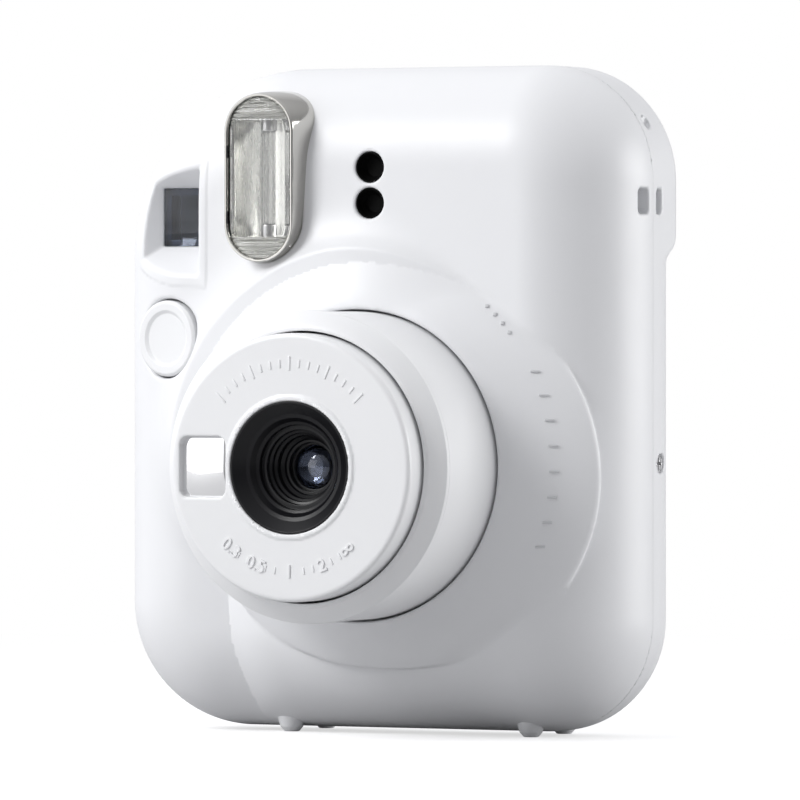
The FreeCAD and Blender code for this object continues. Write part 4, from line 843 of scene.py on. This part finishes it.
def on_collar(angle, radius):
    """Point of the collar's face at an angle and a radius, and the turns that lay a mark on it."""
    across, up = cos(angle), sin(angle)
    span = collar_span(across, up)
    depth = collar_depth(radius, *span)
    slope = atan2(collar_depth(radius + 0.5, *span) - depth, 0.5)
    radial = Matrix.Rotation(-angle, 4, "Y")
    lean = radial @ Matrix.Rotation(slope, 4, "Z") @ radial.inverted()
    return Matrix.Translation(Vector((LENS_X + radius * across, depth, LENS_Z + radius * up)) * MM) @ lean


def collar_marks():
    """Eight raised level ticks down the collar's right side and a short row of dots above them."""
    ticks = [(26.6 - n * 48.7 / 7, 38.2, (0.9, 0.34, 0.2)) for n in range(8)]
    dots = [(50 - n * 3.4, 37.6, (0.34, 0.26, 0.34)) for n in range(4)]
    meshes = []
    for degrees, radius, half in ticks + dots:
        mesh = block_mesh("mark", [-h for h in half], half, 0.1, 2)
        mesh.transform(on_collar(radians(degrees), radius))
        meshes.append(mesh)
    return smooth_by_angle(joined("collar_marks", meshes))


# The ticks and dots take a darker grey than the shell: painted shade for the shadows along their raised edges.
new_piece("collar_marks", collar_marks(), "root", "white_shell", tick_painted_shade)

# ---- shutter button
turned("button_cap", [
    (0, 0.0, 0), (4.6, 0.05, 0.3), (5.2, -0.45, 0.25), (6.5, -0.5, 0.4), (7.0, 0.0, 0.35), (7.0, 3.4, 0.2),
    (8.1, 3.4, 0.1), (8.1, 4.4, 0.1), (2.2, 4.4, 0.1), (2.2, 5.9, 0.2), (0, 5.9, 0)],
    BUTTON, INWARD, "shutter_button", *LENS, "shutter_button", segments=128)


def spring_mesh(name, radius, length, turns, wire):
    """Round wire wound about +Z from 0 to a length."""
    loops = []
    steps = turns * 36
    for n in range(steps + 1):
        angle = 2 * pi * turns * n / steps
        height = wire * 1.1 + (length - wire * 2.2) * n / steps
        loop = [(radius + wire * cos(a), wire * sin(a)) for a in np.arange(0, 2 * pi, pi / 6)]
        loops.append([(r * cos(angle), r * sin(angle), height + h) for r, h in loop])
    return loft_mesh(name, loops)


def squashed_spring(name, size, place, into, cad_node):
    """Coil spring (radius, length, turns, wire) from a place along into."""
    piece = new_piece(name, laid(spring_mesh(name, *size), place, into), "root", "steel", steel, cad_node)
    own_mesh(piece)


squashed_spring("button_return_spring", (3.6, 2.75, 3, 0.33), Vector(BUTTON) + Vector(INWARD) * 4.43, INWARD,
                "button_spring")
squashed_spring("claw_return_spring", (1.5, 8.95, 4, 0.33), (-23.8, 15.1, 39.22), UP,
                "claw_spring")

# ---- flash
bezel_rows = [
    (6.42, -5.4, 0), (6.44, -5.85, 0), (6.6, -5.98, 0), (6.85, -6.0, 0), (7.0, -5.85, 0), (7.06, -5.4, 0.1),
    (7.06, -4.4, 0.45), (7.04, -3.2, 0.85), (7.02, -1.6, 1.25), (7.0, 0.2, 1.6), (7.0, 2.0, 1.8), (7.0, 6.6, 1.8),
    (6.9, 7.2, 1.6), (6.42, 7.2, 0)]
RIBS_FROM = 10.6


def bezel_loop(radius, y, spread):
    """Loop of the bezel at one depth, spread sideways towards its top."""
    loop = []
    for x, depth, z in stadium_loop(radius, y):
        share = step((z - 92) / 22) * spread
        loop.append((x + (x - FLASH_X) / radius * share, depth, z + 0.35 * share * (z > 110)))
    return loop


def flash_ribs():
    """Cross ribs and the plates behind them at both round ends of the flash."""
    ribs = []
    for side in (-1, 1):
        for n in range(6):
            up = 10.75 + 0.7 * n
            half, z = sqrt(6.3 ** 2 - (up - FLASH_STRAIGHT) ** 2), FLASH_Z + side * up
            ribs.append(block_mesh("rib", (FLASH_X - half, -5.3, z - 0.24), (FLASH_X + half, -4.75, z + 0.24), 0.14, 2))
        ribs.append(loft_mesh("rib_back", [[p for p in stadium_loop(6.36, y) if side * (p[2] - FLASH_Z) > 10.3]
                                           for y in (-4.75, -4.5)]))
    return smooth_by_angle(joined("flash_ribs", ribs))


def flash_pane():
    """Clear pane with cross ribs at both round ends and a bevelled rim."""
    bm = bmesh.new()
    columns, rows = 28, 150
    half_w, half_h = 6.38, 14.73
    grid = []
    for j in range(rows + 1):
        z = half_h * sin((-1 + 2 * j / rows) * pi / 2)
        over = max(abs(z) - half_h + half_w, 0)
        width = sqrt(max(half_w ** 2 - over ** 2, 0.02))
        row = []
        for i in range(columns + 1):
            x = width * sin((-1 + 2 * i / columns) * pi / 2)
            rim = step(min(1, (half_w - hypot(x, over)) / 0.9))
            y = -6.3 + 0.75 * (1 - rim) + 0.35 * (x / half_w) ** 2
            if abs(z) > RIBS_FROM:
                y += 0.16 * (1 - cos((abs(z) - RIBS_FROM) * 2 * pi / 0.78)) * rim
            row.append(bm.verts.new(Vector((FLASH_X + x, y, FLASH_Z + z)) * MM))
        grid.append(row)
    lofted(bm, grid, 1)
    out = bmesh.ops.extrude_edge_only(bm, edges=[e for e in bm.edges if e.is_boundary])
    for v in (g for g in out["geom"] if isinstance(g, bmesh.types.BMVert)):
        v.co.y = -4.4 * MM
    bmesh.ops.contextual_create(bm, geom=[e for e in bm.edges if e.is_boundary])
    return smooth_by_angle(finished(bm, "flash_pane", True), 60)


def reflector():
    """Silvered trough open to the front, flared at its two ends, with a thin wall."""
    bm = bmesh.new()
    rings = []
    for z, width, depth in ((-12.6, 5.9, -4.3), (-12.4, 5.9, -4.3), (-10.4, 4.6, 1.6), (-10.2, 4.5, 1.9), (0, 4.5, 1.9),
                            (10.2, 4.5, 1.9), (10.4, 4.6, 1.6), (12.4, 5.9, -4.3), (12.6, 5.9, -4.3)):
        ring = []
        for t in np.linspace(-1, 1, 33):
            x = width * (0.35 * t + 0.65 * sin(t * pi / 2)) * (5.7 / 4.5 if width < 5 else 1.0)
            y = depth + (-4.4 - depth) * abs(t) ** 2.6
            ring.append(bm.verts.new(Vector((FLASH_X + x, y, FLASH_Z + z)) * MM))
        rings.append(ring)
    lofted(bm, rings, 1)
    return smooth_by_angle(finished(bm, "flash_trough"), 40)


new_piece("flash_surround", loft_mesh("flash_surround", [bezel_loop(*row) for row in bezel_rows], closed=True),
          "root", "chrome", chrome, "flash_bezel")
new_piece("flash_ribs", flash_ribs(), "root", "chrome", rib_silver)
new_piece("flash_pane", flash_pane(), "root", "clear_glass", flash_plastic, "flash_window")
trough = new_piece("flash_trough", reflector(), "root", "chrome", reflector_metal, "flash_reflector")
wall = trough.modifiers.new("wall", "SOLIDIFY")
wall.thickness, wall.offset = 0.35 * MM, 0
cap = [(0, 8.3, 0), (0.8, 8.3, 0.1), (1.35, 8.6, 0.2), (1.35, 10.6, 0.2), (0, 10.6, 0)]
for name, corners in (("tube_ends", [(r, -h, edge) for r, h, edge in reversed(cap)]), ("tube_tops", cap)):
    turned(name, corners, (FLASH_X, -1.2, FLASH_Z), UP, "root", "chrome", steel, segments=48)
clips = [block_mesh("clip", (-23.25, -6.05, z - 1.15), (-22.75, -4.0, z + 1.15), 0.15) for z in (94.4, 106.4)]
new_piece("flash_clips", smooth_by_angle(joined("flash_clips", clips)), "root", "black_plastic", black_gloss)

# ---- sensors, feet, screws
cup = [(0, 0.75, 0), (1.6, 0.7, 0.3), (2.3, -0.4, 0.5), (2.55, -1.5, 0.1), (2.8, -1.5, 0.1), (2.8, 1.4, 0.1),
       (0, 1.4, 0)]
for name, level, nodes in (("light_sensor", SENSOR_Z[1], ["light_sensor_windows"]), ("photo_cell", SENSOR_Z[0], [])):
    turned(name, cup, (LENS_X, 0, level), TO_BACK, "root", "black_plastic", sensor_black, *nodes, segments=72)
for n, (x, y) in enumerate((x, y) for x in (-18.5, 30.5) for y in (11.0, 24.8)):
    turned(f"foot_{n + 1}", [(0, 0, 0), (1.35, 0.0, 0.5), (2.1, 0.9, 0.7), (2.6, 2.4, 0.8), (2.6, 3.4, 0), (0, 3.4, 0)],
           (x, y, 0), UP, "root", *SHELL, *(["feet"] if n == 0 else []), segments=64)


def screw_field(x, y, z):
    """Screw along +Z: a domed head with a cross recess and a shank."""
    rho = np.hypot(x, y)
    head = smax(smax(rho - 1.7, -z, 0.3), z - 1.4, 0.1)
    cross = np.minimum(np.maximum(np.abs(x) - 0.2, np.abs(y) - 1.0), np.maximum(np.abs(y) - 0.2, np.abs(x) - 1.0))
    head = carve(head, np.maximum(cross, z - 0.7), 0.08)
    return smin(head, np.maximum(rho - 0.8, np.abs(z - 3.5) - 3.0), 0.2)


for n, (place, turn) in enumerate((((51.5, *SIDE_SCREW_YZ), Matrix.Rotation(-pi / 2, 4, "Y")),
                                   ((-BASE_SCREW_X, BASE_SCREW_Y, 1.3), Matrix()),
                                   ((BASE_SCREW_X, BASE_SCREW_Y, 1.3), Matrix()))):
    screw = grown(f"case_screw_{n + 1}", screw_field, (-1.8, -1.8, -0.1), (1.8, 1.8, 6.6), 0.11, 16000,
                  "root", "steel", steel, *(["case_screws"] if n == 0 else []))
    screw.data.transform(Matrix.Translation(Vector(place) * MM) @ turn)

# ---- viewfinder and counter
new_piece("finder_pane", block_mesh("finder_pane", (-41.97, 5.0, 89.33), (-32.53, 6.0, 99.97), 0.12),
          "root", "dark_glass", finder_glass, "viewfinder_window")
rim = [block_mesh("rim", low, high, 0.15) for low, high in (
    ((-41.9, 6.05, 89.4), (-40.7, 7.4, 99.9)), ((-41.9, 6.05, 98.6), (-32.6, 7.4, 99.9)),
    ((-41.9, 6.05, 89.4), (-32.6, 7.4, 90.6)), ((-33.8, 6.05, 89.4), (-32.6, 7.4, 99.9)))]
new_piece("finder_inner_rim", smooth_by_angle(joined("finder_inner", rim)), "root", "black_plastic", finder_grey)
new_piece("finder_second_pane", block_mesh("finder_second_pane", (-41.9, 12.0, 89.4), (-32.6, 12.8, 99.9), 0.12),
          "root", "dark_glass", finder_glass)


def dial_numbers():
    """Numbers from 10 down to 0 round the counter's dial, read from the back."""
    meshes = []
    face_back = Matrix.Rotation(pi, 4, "Z") @ Matrix.Rotation(pi / 2, 4, "X")
    centre = Matrix.Translation(Vector((-38.5, 27.72, 81.4)) * MM)
    for n in range(11):
        mesh = text_mesh("dial_number", str(10 - n), 1.9, 0.02)
        spin = Matrix.Rotation(-2 * pi * n / 11, 4, "Y")
        mesh.transform(centre @ spin @ Matrix.Translation(Vector(UP) * 3.3 * MM) @ face_back)
        meshes.append(mesh)
    return joined("dial_numbers", meshes)


new_piece("dial_numbers", dial_numbers(), "counter_dial", "gear_plastic", mark_white)
carry_over()

# ---- stage
def floor_mesh():
    """Round floor, finer towards the middle."""
    bm = bmesh.new()
    rings = [[bm.verts.new((r * cos(pi * s / 48), r * sin(pi * s / 48), 0)) for s in range(96)]
             for r in (0.05, 0.2, 0.4, 0.7, 1.2, 2.5, 6.0)]
    bm.faces.new(rings[0])
    lofted(bm, rings)
    return finished(bm, "floor", True)


def mixed(tree, share, first, second, output):
    """Link a blend of two shaders to a material's or a world's output."""
    both = node(tree, "MixShader", Fac=share)
    feed(both.inputs[1], first)
    feed(both.inputs[2], second)
    settings(tree.nodes[output], Surface=both.outputs["Shader"])


def floor_paint():
    """Pale table that is seen as lit from within and passes into even white further out."""
    made, tree, main = shader("floor", Specular_IOR_Level=0.1, Roughness=0.8, Emission_Color=(1, 1, 1, 1))
    seen = node(tree, "LightPath").outputs["Is Camera Ray"]
    settings(main, Base_Color=ramp(tree, noise(tree, 0.05), (0.48, 0.48, 0.485), (0.5, 0.5, 0.505)),
             Emission_Strength=maths(tree, "MULTIPLY", seen, 0.62))
    far = worked(tree, "VectorMath", "LENGTH", own_frame(tree)).outputs["Value"]
    fade = node(tree, "MapRange", Value=far, From_Min=0.05, From_Max=0.5)
    fade.interpolation_type = "SMOOTHERSTEP"
    mixed(tree, maths(tree, "MULTIPLY", fade.outputs["Result"], seen), main.outputs["BSDF"],
          node(tree, "Emission").outputs["Emission"], "Material Output")
    return made


floor = bpy.data.objects.new("floor", floor_mesh())
floor.data.materials.append(floor_paint())
scene.collection.objects.link(floor)


def light_the_world():
    """Soft fill from the left and from above, behind it a white that only the camera sees."""
    world = bpy.data.worlds.new("studio")
    world.use_nodes = True
    scene.world = world
    tree = world.node_tree
    facing = node(tree, "SeparateXYZ", Vector=node(tree, "TexCoord").outputs["Generated"])
    from_left = maths(tree, "MAXIMUM", maths(tree, "MULTIPLY", facing.outputs["X"], -1.1), 0.0)
    from_above = maths(tree, "MAXIMUM", maths(tree, "MULTIPLY", facing.outputs["Z"], 0.7), 0.0)
    fill = settings(tree.nodes["Background"], Color=(0.97, 0.975, 1.0, 1),
                    Strength=maths(tree, "ADD", maths(tree, "ADD", from_left, from_above), 0.07))
    mixed(tree, node(tree, "LightPath").outputs["Is Camera Ray"], fill.outputs["Background"],
          node(tree, "Background", Color=(1, 1, 1, 1), Strength=1.0).outputs["Background"], "World Output")


light_the_world()
MIDDLE = Vector((0, 0.015, 0.06))


def aimed(item, target, azimuth, elevation, distance):
    """Place a light or a camera at a distance from a target and turn it there; angles from the front and up."""
    way = Vector((sin(azimuth) * cos(elevation), -cos(azimuth) * cos(elevation),
                  sin(elevation)))
    item.location = target + way * distance
    item.rotation_euler = (-way).to_track_quat("-Z", "Y").to_euler()
    scene.collection.objects.link(item)


def softbox(name, azimuth, elevation, distance, size, power):
    """Square area light aimed at the object: degrees, metres and watts."""
    light = bpy.data.lights.new(name, "AREA")
    light.size, light.energy = size, power
    aimed(bpy.data.objects.new(name, light), MIDDLE, radians(azimuth), radians(elevation), distance)


softbox("key", -36, 34, 0.85, 0.30, 3.6)
softbox("side", 118, 5, 0.9, 0.6, 6.5)
softbox("card", -32, 2, 0.8, 0.5, 0.7)

# ---- camera
AZIMUTH, ELEVATION = radians(26.9), radians(0.45)
DISTANCE, FOCAL = 1.507, 369.0
optics = bpy.data.cameras.new("camera")
optics.lens, optics.sensor_width = FOCAL, 36.0
optics.clip_start, optics.clip_end = 0.1, 50
camera = bpy.data.objects.new("camera", optics)
aim = Vector((0.0006 * cos(AZIMUTH), PARTING_Y * MM + 0.0006 * sin(AZIMUTH), 0.061))
aimed(camera, aim, AZIMUTH, ELEVATION, DISTANCE)
scene.camera = camera
scene.view_settings.view_transform = "Standard"
